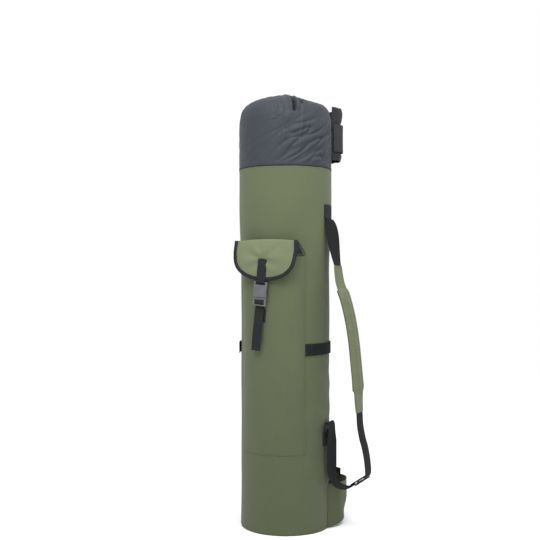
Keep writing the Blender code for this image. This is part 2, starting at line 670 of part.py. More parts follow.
def build_strap():
    webbing = "black_webbing"
    across = math.degrees(STRAP_WEBBING / 2 / TUBE_RADIUS_TOP)

    def patch(low, high, radius):
        return lambda s, t: at(STRAP_AZIMUTH + across * (2 * s - 1), radius, low + (high - low) * t)

    sheet("strap_anchor_upper", webbing, 6, 2, patch(0.6735, 0.7045, 0.1022), 0.0026)
    sheet("strap_anchor_lower", webbing, 6, 2, patch(0.1830, 0.2120, TUBE_RADIUS + 0.0006), 0.0024)
    strap_ribbon("strap_webbing_stub", webbing, UPPER_STUB, STRAP_WEBBING, WEBBING_THICKNESS)

    moving = [
        strap_ribbon("strap_webbing_upper", webbing, UPPER_WEBBING, STRAP_WEBBING, WEBBING_THICKNESS),
        strap_ribbon("strap_tab_upper", "olive", UPPER_TAB, 0.042, 0.003, end_width=0.050),
        strap_ribbon("strap_tab_lower", "olive", LOWER_TAB, 0.050, 0.003, end_width=0.040),
        strap_ribbon("strap_webbing_lower", webbing, LOWER_WEBBING, STRAP_WEBBING, WEBBING_THICKNESS, 2),
        strap_ribbon("strap_pad", "olive", PAD_LINE, STRAP_PAD_WIDTH, STRAP_PAD_THICKNESS),
    ]
    normal_offset = STRAP_PAD_THICKNESS / 2 + GAP + 0.0008
    backing_line = []
    path = smooth_path(PAD_LINE, 3)
    for i, (radius, z) in enumerate(path):
        before, after = path[max(i - 1, 0)], path[min(i + 1, len(path) - 1)]
        along = (after[0] - before[0], after[1] - before[1])
        size = math.hypot(*along)
        backing_line.append((radius + along[1] / size * normal_offset, z - along[0] / size * normal_offset))
    moving.append(strap_ribbon("strap_pad_backing", webbing, backing_line, STRAP_PAD_WIDTH - 0.004, 0.001, 1))
    pivot = empty("strap_swing_axis", at(STRAP_AZIMUTH, SWING_RADIUS, 0.42))
    carry(pivot, *moving)

    low_bar, high_bar = RING_BARS
    ring_frame = local_frame(STRAP_AZIMUTH, RING_RADIUS_FROM_AXIS, (low_bar + high_bar) / 2)
    ring = rounded_rectangle(RING_HALF_WIDTH, (high_bar - low_bar) / 2, 0.004, 3)
    ring_points = [ring_frame @ Vector((x, 0, z)) for x, z in ring]
    wire("anchor_ring", "buckle_plastic", ring_points, RING_WIRE, closed=True)
    over_bar = wrapped_bar((RING_RADIUS_FROM_AXIS, low_bar), RING_WIRE + 0.00115, 180, 0)
    keeper = [(0.1018, 0.2130), *over_bar, (0.1077, 0.2120)]
    strap_ribbon("ring_keeper", webbing, keeper, STRAP_WEBBING - 0.004, WEBBING_THICKNESS, 1)
    strap_ribbon("strap_ring_loop", webbing, RING_LOOP, STRAP_WEBBING - 0.002, WEBBING_THICKNESS, 2)
    return pivot


def build_tri_glide(strap_pivot):
    """A slider on the strap: a frame and end bars outside the webbing, and a middle bar inside it."""
    (r0, z0), (r1, z1) = GLIDE_RUN
    run = math.hypot(r1 - r0, z1 - z0)
    radius = r0 + (r1 - r0) * GLIDE_FROM_RUN_TOP / run
    height = z0 + (z1 - z0) * GLIDE_FROM_RUN_TOP / run
    lie = Matrix.Rotation(math.asin((r0 - r1) / run), 4, "X")
    frame = local_frame(STRAP_AZIMUTH, radius, height) @ lie
    half_width, half_length = GLIDE_WIDTH / 2, GLIDE_LENGTH / 2
    near, far = -0.0014, -0.0014 - GLIDE_THICKNESS
    low, high = (-half_width, far, -half_length), (half_width, near, half_length)
    glide = box("tri_glide", "buckle_plastic", low, high, frame)
    cut_box(glide, "window", (-half_width + 0.004, -0.01, -half_length + 0.004),
            (half_width - 0.004, 0.01, half_length - 0.004), frame)
    for side in (-1, 1):
        x0, x1 = sorted((side * (half_width - 0.0035), side * half_width))
        cut_box(glide, f"lug_{side}", (x0, far + 0.001, -0.003), (x1, 0.0035, 0.003), frame, "UNION")
    low, high = (-half_width + 0.001, 0.0014, -0.0024), (half_width - 0.001, 0.0036, 0.0024)
    cut_box(glide, "middle_bar", low, high, frame, "UNION")
    pivot = empty("tri_glide_slide", at(STRAP_AZIMUTH, radius, height))
    carry(pivot, glide)
    carry(strap_pivot, pivot)


clear_scene()
parts = new_collection("rod_case")
cutters = new_collection("cutters")
build_tube()
build_collar()
build_cord_lock()
build_pocket()
flap_layers = build_flap()
buckle_socket, buckle_plug, prong_pivots, flap_strap, plug_tail = build_buckle()
flap_pivot = empty("flap_lift_axis", at(FLAP_AZIMUTH, FLAP_RADIUS + 0.0005, FLAP_TOP + 0.001))
carry(flap_pivot, *flap_layers, buckle_socket, flap_strap)
plug_pivot = empty("buckle_release_slide", at(FLAP_AZIMUTH, BUCKLE_BACK, BUCKLE_HEIGHT))
carry(plug_pivot, buckle_plug, plug_tail, *prong_pivots)
build_rod_stations()
build_tri_glide(build_strap())
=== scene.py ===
"""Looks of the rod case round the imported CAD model: cloth, webbing, stitches, materials, studio, camera."""
import math

import bmesh
import bpy
import numpy as np
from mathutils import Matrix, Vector, noise


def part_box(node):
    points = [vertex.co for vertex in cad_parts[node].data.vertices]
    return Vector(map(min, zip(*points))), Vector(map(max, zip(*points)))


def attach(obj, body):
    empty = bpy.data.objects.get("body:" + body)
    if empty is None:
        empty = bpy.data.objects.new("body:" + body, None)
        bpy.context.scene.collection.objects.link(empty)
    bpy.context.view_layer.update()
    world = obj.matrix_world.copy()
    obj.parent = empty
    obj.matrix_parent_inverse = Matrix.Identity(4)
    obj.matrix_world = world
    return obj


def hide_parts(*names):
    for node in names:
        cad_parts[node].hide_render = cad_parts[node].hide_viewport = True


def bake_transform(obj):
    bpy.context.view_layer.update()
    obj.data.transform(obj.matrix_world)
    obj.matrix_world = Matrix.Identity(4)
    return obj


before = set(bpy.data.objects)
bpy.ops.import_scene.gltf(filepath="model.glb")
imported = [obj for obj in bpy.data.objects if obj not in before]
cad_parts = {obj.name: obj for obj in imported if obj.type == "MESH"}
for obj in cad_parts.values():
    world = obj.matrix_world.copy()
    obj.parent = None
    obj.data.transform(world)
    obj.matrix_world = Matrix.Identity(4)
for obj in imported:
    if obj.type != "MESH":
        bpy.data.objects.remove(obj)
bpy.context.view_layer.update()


def heights(node):
    """A CAD node's lowest and highest point."""
    low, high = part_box(node)
    return low[2], high[2]


# Driving sizes, read from the frame where a box gives them, in metres. Azimuths are in degrees from -Y to +X.
COVER_TOP = heights("outer_cover")[1]
RADIUS = 0.0975
RADIUS_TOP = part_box("outer_cover")[1][0]
TAPER_START, TAPER_END = 0.55, 0.72
FABRIC = 0.0009

POCKET_AZIMUTH, POCKET_HALF = -21.0, 45.0
POCKET_LOW, POCKET_TOP = heights("pocket_panel")[0], heights("pocket_mouth_hem")[1]

FLAP_AZIMUTH, FLAP_RADIUS = -22.2, 0.1145
FLAP_TOP, FLAP_BOTTOM = heights("flap_panel")[1], 0.54
FLAP_HALF_TOP, FLAP_HALF, FLAP_OVAL, FLAP_POWER = 0.0700, 0.0732, 0.050, 2.2
SEWN_HEIGHT = heights("flap_back")[0]
# Where along the flap's cloth the fold starts, and how much of it the fold takes.
FOLD_AT, FOLD_SPAN = 0.28, 0.06
BUCKLE_AZIMUTH, BUCKLE_BACK, BUCKLE_SIDE, BUCKLE_HEIGHT, BUCKLE_LEAN = -21.5, 0.1115, -0.014, 0.5052, 5.0

BAND_LOW, BAND_HIGH = heights("mid_band")
# Each rod pocket's azimuth, half angle, and depth at its floor and at its rim.
ROD_POCKETS = {"right": (111.0, 41.0, 0.0372, 0.0465), "back": (214.0, 30.0, 0.032, 0.036)}
# Each rod wrap's azimuth, half angle and depth.
ROD_WRAPS = {"right": (107.0, 20.0, 0.028), "back": (211.0, 18.0, 0.024)}
ROD_POCKET_TOP, ROD_POCKET_FLOOR = heights("rod_pocket_right")[1], 0.18
WRAP_LOW, WRAP_HIGH = heights("rod_wrap_right")
STRAP_LOW, STRAP_HIGH = heights("rod_wrap_strap_right")

STRAP_AZIMUTH = 65.0
WEBBING_WIDTH, WEBBING = 0.038, 0.0013
PAD_WIDTH, PAD_THICKNESS = 0.060, 0.011
PAD_COLUMNS, PAD_ROWS, PAD_SWELL, PAD_SQUARENESS, PAD_FRAMES = 64, 150, 0.0030, 0.62, 20
UPPER_LINE = [
    (0.1046, 0.6735), (0.1062, 0.667), (0.1088, 0.658), (0.1125, 0.640), (0.1165, 0.612), (0.1215, 0.583),
    (0.1243, 0.5715),
]
UPPER_TAB = [(0.1243, 0.572), (0.1270, 0.550), (0.1300, 0.5345), (0.1362, 0.5165)]
PAD_LINE = [
    (0.1335, 0.524), (0.1438, 0.498), (0.1545, 0.455), (0.1616, 0.4125), (0.1663, 0.3695), (0.1705, 0.3266),
    (0.1717, 0.300),
]
LOWER_TAB = [(0.1716, 0.3065), (0.1718, 0.2837), (0.1727, 0.270), (0.1735, 0.258)]
LOWER_LINE = [
    (0.1731, 0.2660), (0.1737, 0.2560), (0.1753, 0.230), (0.1800, 0.205), (0.1852, 0.187), (0.1898, 0.165),
    (0.1922, 0.1460), (0.1930, 0.1345), (0.1924, 0.1270), (0.1905, 0.1225), (0.1846, 0.1184),
    (0.1787, 0.1143), (0.1700, 0.10825), (0.1630, 0.1034), (0.1560, 0.0985), (0.1480, 0.0952),
    (0.1390, 0.0945), (0.1280, 0.0970), (0.1190, 0.1030), (0.1130, 0.1120), (0.1108, 0.1250),
    (0.1104, 0.1400), (0.1104, 0.1570),
]
GLIDE_RETURN = [
    (0.1912, 0.1237), (0.1888, 0.1233), (0.1858, 0.1238), (0.1822, 0.1218), (0.1750, 0.1168),
    (0.1680, 0.1120), (0.1612, 0.1072), (0.1585, 0.1035), (0.1556, 0.0992),
]
# The webbing's hump in the tri-glide's window: distances along the strap and out from it.
GLIDE_CENTRE = np.array((0.1790, 0.1145))
GLIDE_ALONG, GLIDE_OUT = np.array((-0.8208, -0.5710)), np.array((0.5710, -0.8208))
GLIDE_HUMP = [(-0.0062, 0.0008), (-0.004, 0.0022), (0, 0.0029), (0.004, 0.0022), (0.0062, 0.0008)]
RING_LINE = [
    (0.1104, 0.1552), (0.1104, 0.175), (0.1106, 0.1975), (0.1104, 0.2225), (0.1090, 0.2300), (0.1072, 0.2333),
    (0.1050, 0.2341), (0.1028, 0.2333), (0.1017, 0.2310), (0.1017, 0.2265),
]


# ---------------------------------------------------------------- places and noise

def around(azimuth, radius, z):
    """Points at azimuths, distances from the tube's axis and heights."""
    angle = np.radians(azimuth)
    return np.stack(np.broadcast_arrays(radius * np.sin(angle), -radius * np.cos(angle), z), -1)


def turned(azimuth, side, out, z):
    """Points in the upright frame that faces out at an azimuth: side along it, out along its normal."""
    angle = math.radians(azimuth)
    x = side * math.cos(angle) + out * math.sin(angle)
    y = side * math.sin(angle) - out * math.cos(angle)
    return np.stack(np.broadcast_arrays(x, y, z), -1)


def girth_at(azimuth):
    """Distance round the tube from its front."""
    return np.radians((azimuth + 180) % 360 - 180) * 0.1


def roll(points, scale, seed=0.0):
    """Smooth noise from -1 to 1, with waves about as long as the scale along each axis."""
    return np.array([noise.noise(Vector(p)) for p in points / np.array(scale) + seed])


def ease(x):
    x = np.clip(x, 0, 1)
    return x * x * (3 - 2 * x)


def bump(x, centre, width):
    return np.exp(-(((x - centre) / width) ** 2))


def smooth_path(points, count):
    """A Catmull-Rom curve through given points, at even steps along its length."""
    points = np.array(points, float)
    padded = np.vstack([2 * points[0] - points[1], points, 2 * points[-1] - points[-2]])
    fine = []
    for p0, p1, p2, p3 in zip(padded, padded[1:], padded[2:], padded[3:]):
        t = np.linspace(0, 1, 12, endpoint=False)[:, None]
        fine.append(0.5 * (2 * p1 + (p2 - p0) * t + (2 * p0 - 5 * p1 + 4 * p2 - p3) * t**2
                           + (3 * p1 - p0 - 3 * p2 + p3) * t**3))
    return resample(np.vstack([*fine, points[-1:]]), count)


def run(points):
    """Distances along a line of points, from its start."""
    return np.concatenate([[0], np.cumsum(np.linalg.norm(np.diff(points[:, :3], axis=0), axis=1))])


def resample(rows, count):
    """Rows at even steps along a line. Their first two or three columns are its points."""
    length = run(rows)
    goal = np.linspace(0, length[-1], count)
    return np.stack([np.interp(goal, length, column) for column in rows.T], -1)


def at(path, t):
    """A path's rows at fractions t of its length."""
    where = np.linspace(0, 1, len(path))
    return np.stack([np.interp(t, where, column) for column in path.T], -1)


def on_path(path, t):
    """The path's point and its normal, turned a quarter from its direction, at fractions t of its length."""
    slope = at(np.gradient(path, axis=0), t)
    slope /= np.linalg.norm(slope, axis=1)[:, None]
    return at(path, t), np.stack([-slope[:, 1], slope[:, 0]], -1)


def signed_power(x, power):
    return np.sign(x) * np.abs(x) ** power


# ---------------------------------------------------------------- making pieces

def add_mesh(name, points, faces, uvs=None):
    mesh = bpy.data.meshes.new(name)
    mesh.from_pydata([tuple(p) for p in points], [], faces)
    if uvs is not None:
        layer = mesh.uv_layers.new(name="UVMap")
        layer.data.foreach_set("uv", np.array(uvs, np.float32).ravel())
    mesh.shade_smooth()
    obj = bpy.data.objects.new(name, mesh)
    bpy.context.scene.collection.objects.link(obj)
    return obj


def grid(columns, rows, closed=False):
    """Flat lists of s and t, row by row. A closed grid leaves out its last column."""
    across = columns if closed else columns + 1
    s, t = np.meshgrid(np.arange(across) / columns, np.arange(rows + 1) / rows)
    return s.ravel(), t.ravel()


def soften(obj, width):
    """Rounds an object's sharp edges a little."""
    rounding = obj.modifiers.new("rounding", "BEVEL")
    rounding.width = width
    rounding.segments = 2
    rounding.limit_method = "ANGLE"
    rounding.angle_limit = math.radians(50)


def surface(name, place, columns, rows, size, finish, thickness=0.0, closed=False, offset=1.0, sharp=True):
    """A grid of points place(s, t), with UVs in metres from its real size, thickened by Solidify."""
    across = columns if closed else columns + 1
    points = place(*grid(columns, rows, closed))
    faces, uvs = [], []
    for j in range(rows):
        for i in range(columns):
            k = (i + 1) % across
            faces.append((j * across + i, j * across + k, (j + 1) * across + k, (j + 1) * across + i))
            for a, b in ((i, j), (i + 1, j), (i + 1, j + 1), (i, j + 1)):
                uvs.append((a / columns * size[0], b / rows * size[1]))
    obj = add_mesh(name, points, faces, uvs)
    obj.data.materials.append(finish)
    if thickness:
        modifier = obj.modifiers.new("thickness", "SOLIDIFY")
        modifier.thickness = thickness
        modifier.offset = offset
        if sharp:
            soften(obj, thickness * 0.3)
    return obj


def close_ends(obj, ring):
    """Fills the two open ends of a closed surface."""
    filled = bmesh.new()
    filled.from_mesh(obj.data)
    bmesh.ops.holes_fill(filled, edges=[e for e in filled.edges if e.is_boundary], sides=ring)
    bmesh.ops.recalc_face_normals(filled, faces=filled.faces)
    filled.to_mesh(obj.data)
    filled.free()
    obj.data.shade_smooth()


def get_points(obj):
    return np.array([vertex.co for vertex in obj.data.vertices])


def set_points(obj, points):
    obj.data.vertices.foreach_set("co", points.astype(np.float32).ravel())
    obj.data.update()


def dress(obj, body, slot, *nodes):
    """Puts a piece on its body, in place of the CAD nodes that it stands for. The slot argument is not used.
    """
    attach(obj, body)
    if nodes:
        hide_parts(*nodes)


STITCHES = {}
# A stitch's rings: how far along it, how far out of the cloth, and radius.
THREAD_RINGS = ((0, -0.0004, 0.0001), (0.2, 0.0001, 0.0003), (0.8, 0.0001, 0.0003), (1, -0.0004, 0.0001))


def normals_of(place, s, t):
    step = 0.002
    along_s = place(np.clip(s + step, 0, 1), t) - place(np.clip(s - step, 0, 1), t)
    along_t = place(s, np.clip(t + step, 0, 1)) - place(s, np.clip(t - step, 0, 1))
    normal = np.cross(along_s, along_t)
    normal *= np.sign((normal * place(s, t) * (1, 1, 0)).sum(1))[:, None]
    return normal / np.maximum(np.linalg.norm(normal, axis=1), 1e-12)[:, None]


def seam(group, place, ends, lift, pitch=0.0036, count=160):
    """A row of stitches on a surface, along straight stretches between (s, t) corners."""
    for (s0, t0), (s1, t1) in zip(ends, ends[1:]):
        f = np.linspace(0, 1, count)
        s, t = s0 + (s1 - s0) * f, t0 + (t1 - t0) * f
        line = np.hstack([place(s, t), normals_of(place, s, t)])
        steps = max(int(run(line)[-1] / pitch), 2)
        line = resample(line, steps * 4 + 1)
        for k in range(steps):
            a, b = line[4 * k], line[min(4 * k + 3, len(line) - 1)]
            STITCHES.setdefault(group, []).append((a[:3] + a[3:] * lift, b[:3] + b[3:] * lift, a[3:]))


def box_seam(group, place, s, t, lift, pitch=0.0036, diagonals=0):
    """Stitches round a box between two values of s and two of t, and along its diagonals."""
    (s0, s1), (t0, t1) = s, t
    ends = [(s0, t0), (s1, t0), (s1, t1), (s0, t1), (s0, t0), (s1, t1)]
    seam(group, place, ends if diagonals else ends[:5], lift, pitch)
    if diagonals == 2:
        seam(group, place, [(s1, t0), (s0, t1)], lift, pitch)


def make_stitches():
    """One mesh for each group of stitches: short threads that dip into the cloth at both ends."""
    for (body, color), threads in STITCHES.items():
        points, faces = [], []
        for a, b, normal in threads:
            along = b - a
            side = np.cross(along, normal)
            side /= max(np.linalg.norm(side), 1e-12)
            base = len(points)
            for f, rise, radius in THREAD_RINGS:
                centre = a + along * f + normal * rise
                for k in range(5):
                    angle = 2 * math.pi * k / 5
                    points.append(centre + (side * math.cos(angle) + normal * math.sin(angle)) * radius)
            for ring in range(3):
                for k in range(5):
                    lo, hi = base + ring * 5, base + ring * 5 + 5
                    faces.append((lo + k, lo + (k + 1) % 5, hi + (k + 1) % 5, hi + k))
            faces.append(tuple(base + k for k in range(5))[::-1])
            faces.append(tuple(base + 15 + k for k in range(5)))
        obj = add_mesh(f"stitches_{color}_{body}", points, faces)
        obj.data.materials.append(FINISH[color])
        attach(obj, body)


# ---------------------------------------------------------------- materials

class Nodes:
    """A short way to wire a material's nodes."""

    def __init__(self, name, color, roughness, sheen=0.0, metallic=0.0, specular=0.5):
        self.material = bpy.data.materials.new(name)
        self.material.use_nodes = True
        self.tree = self.material.node_tree
        self.shader = self.tree.nodes["Principled BSDF"]
        self.shader.inputs["Base Color"].default_value = (*color, 1)
        self.shader.inputs["Roughness"].default_value = roughness
        self.shader.inputs["Metallic"].default_value = metallic
        self.shader.inputs["Specular IOR Level"].default_value = specular
        self.shader.inputs["Sheen Weight"].default_value = sheen
        self.shader.inputs["Sheen Roughness"].default_value = 0.5

    def node(self, kind, settings=(), **inputs):
        made = self.tree.nodes.new("ShaderNode" + kind)
        for key, value in dict(settings).items():
            setattr(made, key, value)
        for key, value in inputs.items():
            numbered = key[0] == "i" and key[1:].isdigit()
            socket = made.inputs[int(key[1:]) if numbered else key.replace("_", " ")]
            if isinstance(value, bpy.types.NodeSocket):
                self.tree.links.new(value, socket)
            else:
                socket.default_value = value
        return made

    def math(self, operation, a, b=0.0):
        return self.node("Math", {"operation": operation}, i0=a, i1=b).outputs[0]

    def total(self, *parts):
        """A weighted sum: value, weight, value, weight."""
        result = None
        for value, weight in zip(parts[::2], parts[1::2]):
            part = value if weight == 1 else self.math("MULTIPLY", value, weight)
            result = part if result is None else self.math("ADD", result, part)
        return result

    def wave(self, value, length):
        """Rounded ridges, one for each length."""
        return self.math("ABSOLUTE", self.math("SINE", self.math("MULTIPLY", value, math.pi / length)))

    def uv(self):
        return self.node("UVMap", {"uv_map": "UVMap"}).outputs[0]

    def place(self):
        return self.node("TexCoord").outputs["Object"]

    def scaled(self, vector, scale):
        return self.node("Mapping", Vector=vector, Scale=scale).outputs[0]

    def noise(self, vector, scale, detail=3.0, roughness=0.55):
        made = self.node("TexNoise", Vector=vector, Scale=scale, Detail=detail, Roughness=roughness)
        return made.outputs[0]

    def spread(self, value, low, high, start=0.3, end=0.7):
        """The value from start to end stretched to a new range."""
        made = self.node("MapRange", Value=value, From_Min=start, From_Max=end, To_Min=low, To_Max=high)
        return made.outputs[0]

    def color_by(self, factor, dark, light):
        mixed = self.node("Mix", {"data_type": "RGBA"}, Factor=factor)
        mixed.inputs[6].default_value = (*dark, 1)
        mixed.inputs[7].default_value = (*light, 1)
        self.tree.links.new(mixed.outputs[2], self.shader.inputs["Base Color"])

    def finish(self, height, strength, distance, roughness=None):
        made = self.node("Bump", Height=height, Strength=strength, Distance=distance)
        self.tree.links.new(made.outputs[0], self.shader.inputs["Normal"])
        if roughness is not None:
            self.tree.links.new(roughness, self.shader.inputs["Roughness"])
        return self.material


def shades(color, down, up):
    return tuple(c * down for c in color), tuple(c * up for c in color)


def woven(name, color, pitch, roughness, sheen, contrast=0.16, bump_depth=0.00025, wrinkle=0.0, specular=0.3,
          painted_top_light=False):
    """A plain weave: warp and weft that pass over each other in turn, slubs, fading and fine wrinkles, with
    painted shade in the weave and, if asked, painted light towards the top.
    """
    n = Nodes(name, color, roughness, sheen, specular=specular)
    uv = n.uv()
    split = n.node("SeparateXYZ", Vector=uv)
    over = n.node("TexChecker", Vector=uv, Scale=1 / pitch).outputs[1]
    warp, weft = n.wave(split.outputs[0], pitch), n.wave(split.outputs[1], pitch)
    weave = n.node("Mix", {"data_type": "FLOAT"}, Factor=over, i2=warp, i3=weft).outputs[0]
    slub_v = n.noise(n.scaled(uv, (900, 30, 1)), 1.0, 2.0)
    slub_h = n.noise(n.scaled(uv, (30, 900, 1)), 1.0, 2.0)
    fade = n.noise(n.place(), 9.0, 4.0, 0.6)
    cloudy = n.noise(n.place(), 60.0, 3.0, 0.6)
    tone = n.total(slub_v, 0.30, slub_h, 0.22, fade, 0.30, cloudy, 0.18)
    # The weave's raised threads are painted lighter and the gaps between them darker: painted shade.
    tone = n.total(n.spread(tone, 0.0, 0.72), 1, weave, 0.28)
    # Painted light: the cloth is made lighter towards the top and darker lower down, as the light from above
    # falls off.
    if painted_top_light:
        rise = n.node("SeparateXYZ", Vector=n.place()).outputs[2]
        tone = n.total(tone, 0.55, n.spread(rise, 0.0, 0.45, 0.05, 0.75), 1)
    n.color_by(tone, *shades(color, 1 - contrast, 1 + contrast))
    height = n.total(weave, 0.5, slub_v, 0.35, slub_h, 0.35)
    if wrinkle:
        height = n.total(height, 1, n.noise(n.scaled(n.place(), (45, 45, 28)), 1.0, 4.0, 0.6), wrinkle)
    return n.finish(height, 0.55, bump_depth, n.spread(cloudy, roughness - 0.06, roughness + 0.06))


def ribbed(name, color, rib, roughness, across=True, contrast=0.22, depth=0.0004, specular=0.08):
    """Webbing or tape: close ribs across its width, a twill shift along them, and fuzzy, lighter wear."""
    n = Nodes(name, color, roughness, 0.02, specular=specular)
    split = n.node("SeparateXYZ", Vector=n.uv())
    along, side = (split.outputs[1], split.outputs[0]) if across else (split.outputs[0], split.outputs[1])
    chevron = n.math("PINGPONG", side, 0.0045)
    ribs, threads = n.wave(n.total(along, 1, chevron, 0.6), rib), n.wave(side, rib * 0.8)
    fuzz = n.noise(n.place(), 420.0, 3.0, 0.7)
    worn = n.noise(n.place(), 35.0, 4.0, 0.6)
    # The ribs are painted lighter and the grooves between them darker: painted shade. The worn noise is
    # lighter wear.
    tone = n.total(ribs, 0.4, n.spread(worn, 0.0, 1.0), 0.35, fuzz, 0.25)
    n.color_by(tone, *shades(color, 1 - contrast, 1 + contrast * 2))
    height = n.total(ribs, 0.6, threads, 0.25, fuzz, 0.3)
    return n.finish(height, 0.6, depth, n.spread(worn, roughness - 0.05, roughness + 0.08))


def moulded(name, color, roughness, metallic=0.0, specular=0.5):
    """Satin moulded plastic, or drawn wire: a fine grain, faint flow marks and small scuffs."""
    n = Nodes(name, color, roughness, 0.0, metallic, specular)
    grain = n.noise(n.place(), 2600.0, 2.0, 0.5)
    scuffs = n.noise(n.scaled(n.place(), (220, 220, 900)), 1.0, 4.0, 0.7)
    clouds = n.noise(n.place(), 90.0, 3.0)
    n.color_by(n.total(n.spread(clouds, 0, 1), 0.6, scuffs, 0.4), *shades(color, 0.85, 1.2))
    height = n.total(grain, 0.5, scuffs, 0.3)
    return n.finish(height, 0.25, 0.0001, n.spread(scuffs, roughness - 0.08, roughness + 0.12))


def braided(name, color):
    """A round braided cord: two sets of strands that cross at a slant."""
    n = Nodes(name, color, 0.7, 0.2)
    split = n.node("SeparateXYZ", Vector=n.uv())
    turn, along = split.outputs[0], split.outputs[1]
    left = n.math("SINE", n.math("MULTIPLY", n.math("ADD", along, turn), math.pi / 0.0016))
    right = n.math("SINE", n.math("MULTIPLY", n.math("SUBTRACT", along, turn), math.pi / 0.0016))
    height = n.math("ABSOLUTE", n.math("MULTIPLY", left, right))
    # The strands' crowns are painted lighter and the grooves between them darker: painted shade.
    n.color_by(height, *shades(color, 0.6, 1.6))
    return n.finish(height, 0.7, 0.0004)


def foamed(name, color):
    n = Nodes(name, color, 0.95)
    cells = n.node("TexVoronoi", Vector=n.place(), Scale=700.0).outputs[0]
    # The cells' pits are painted darker and their rims lighter: painted shade.
    n.color_by(cells, *shades(color, 0.8, 1.15))
    return n.finish(cells, 0.5, 0.0004)


OLIVE = (0.067, 0.080, 0.0405)
# The flap's olive is the cover's olive painted paler: painted light, for the light from above that falls on
# the flap.
FLAP_OLIVE_PAINTED_LIGHT = (0.112, 0.130, 0.070)
COLLAR_GREY = (0.0275, 0.0315, 0.0395)
WRAP_GREY = (0.0155, 0.0172, 0.0198)
BLACK = (0.012, 0.013, 0.015)

FINISH = {
    # The cover's colour carries painted light, lighter towards its top.
    "cover": woven("cover_fabric", OLIVE, 0.0009, 0.85, 0.08, 0.30, painted_top_light=True),
    "flap": woven("flap_fabric", FLAP_OLIVE_PAINTED_LIGHT, 0.0009, 0.85, 0.12),
    "pad": woven("pad_fabric", (0.099, 0.115, 0.060), 0.0009, 0.85, 0.05, wrinkle=0.5),
    "collar": woven("collar_nylon", COLLAR_GREY, 0.0005, 0.6, 0.03, 0.10, 0.00018, 0.6, specular=0.2),
    "wrap": woven("wrap_nylon", WRAP_GREY, 0.0005, 0.6, 0.02, 0.10, 0.00018, 0.9, specular=0.15),
    "lining": woven("lining_cloth", (0.020, 0.021, 0.023), 0.0006, 0.8, 0.1),
    "webbing": ribbed("black_webbing", BLACK, 0.0013, 0.75),
    "band": ribbed("band_webbing", (0.0090, 0.0098, 0.0105), 0.0013, 0.8, across=False, specular=0.05),
    "strap_web": ribbed("strap_webbing", (0.0105, 0.0110, 0.0120), 0.0013, 0.85, specular=0.045),
    "tape": ribbed("binding_tape", (0.014, 0.015, 0.017), 0.0009, 0.7),
    "hook_loop": ribbed("hook_and_loop", (0.028, 0.030, 0.034), 0.0007, 0.9, depth=0.0007),
    "plastic": moulded("buckle_plastic", (0.068, 0.071, 0.080), 0.42),
    "black_plastic": moulded("black_plastic", (0.010, 0.011, 0.012), 0.42, specular=0.25),
    "wire": moulded("spring_wire", (0.6, 0.6, 0.6), 0.3, 1.0),
    "cord": braided("drawcord_braid", (0.030, 0.031, 0.034)),
    "foam": foamed("foam", (0.42, 0.42, 0.40)),
    "board": moulded("base_board_fibre", (0.060, 0.058, 0.055), 0.7),
    "olive_thread": moulded("olive_thread", (0.085, 0.103, 0.055), 0.7),
    "black_thread": moulded("black_thread", (0.030, 0.031, 0.034), 0.6),
}


# ---------------------------------------------------------------- the tube

def cover_radius(azimuth, z):
    """The cover's flare, slow waves in the cloth over the foam, puckers at the seam and dents low down."""
    flare = (RADIUS_TOP - RADIUS) * ease((z - TAPER_START) / (TAPER_END - TAPER_START))
    points = around(azimuth, RADIUS, z)
    slow = 0.0016 * roll(points, (0.07, 0.07, 0.13), 3.1) + 0.0007 * roll(points, (0.03, 0.03, 0.30), 7.7)
    slow *= 1 - bump(z, COVER_TOP, 0.03)
    drag = points[:, 2] + 0.35 * np.radians(azimuth) * RADIUS
    low = 0.0042 * roll(np.stack([points[:, 0], points[:, 1], drag * 0.6], -1), (0.05, 0.05, 0.022), 11.3)
    low *= ease((0.42 - z) / 0.12) * ease(z / 0.12) * bump((azimuth + 180) % 360 - 180, 58, 34)
    pucker = 0.0007 * roll(points, (0.011, 0.011, 0.08), 5.2) * bump(z, COVER_TOP, 0.018)
    hem = -0.0010 * bump(z, 0.0, 0.0035)
    return RADIUS + flare + np.clip(slow + low + pucker, -0.0010, 0.0022) + hem - FABRIC


def make_cover():
    def place(s, t):
        azimuth, z = 180 + 360 * s, 0.0002 + (COVER_TOP - 0.0004) * t
        return around(azimuth, cover_radius(azimuth, z), z)

    size = (2 * math.pi * RADIUS, COVER_TOP)
    cover = surface("cover_cloth", place, 200, 170, size, FINISH["cover"], FABRIC, closed=True)
    dress(cover, "root", "cover_fabric", "outer_cover")
    near_top = (COVER_TOP - 0.004) / COVER_TOP
    thread, foot = ("root", "olive_thread"), 0.006 / COVER_TOP
    seam(thread, place, [(0, near_top), (1, near_top)], FABRIC, count=700)
    for beside in (0.004, 0.996):
        seam(thread, place, [(beside, 0.01), (beside, 0.99)], FABRIC, count=500)
    seam(thread, place, [(0, foot), (1, foot)], FABRIC, count=700)


# ---------------------------------------------------------------- the collar

HEM_HEIGHT, HEM_RING = 0.9455, 0.0165
CORD_RADIUS, CORD_SIDES, CORD_ROWS = 0.0016, 10, 259
CLOTH_HEIGHT, CLOTH_RADIUS = 0.223, 0.1014
CLOTH_COLUMNS, CLOTH_ROWS = 240, 96
DRAWN_RADIUS, DRAWN_TURN = 0.0190, 32.0
COLLAR_FOOT = COVER_TOP - 0.0015
# The frame by which the mouth is drawn in, and the last frame of the cloth's run.
DRAWN_BY, COLLAR_FRAMES = 28, 42
# The drawn cloth's room: nearest to and furthest from the axis, furthest under a wrap, and highest.
COLLAR_INSIDE, COLLAR_OUTSIDE, UNDER_WRAP, COLLAR_CEILING = 0.0998, 0.1062, 0.1021, 0.9490
FORM_GAP, TOP_SLACK = 0.0006, 0.0030
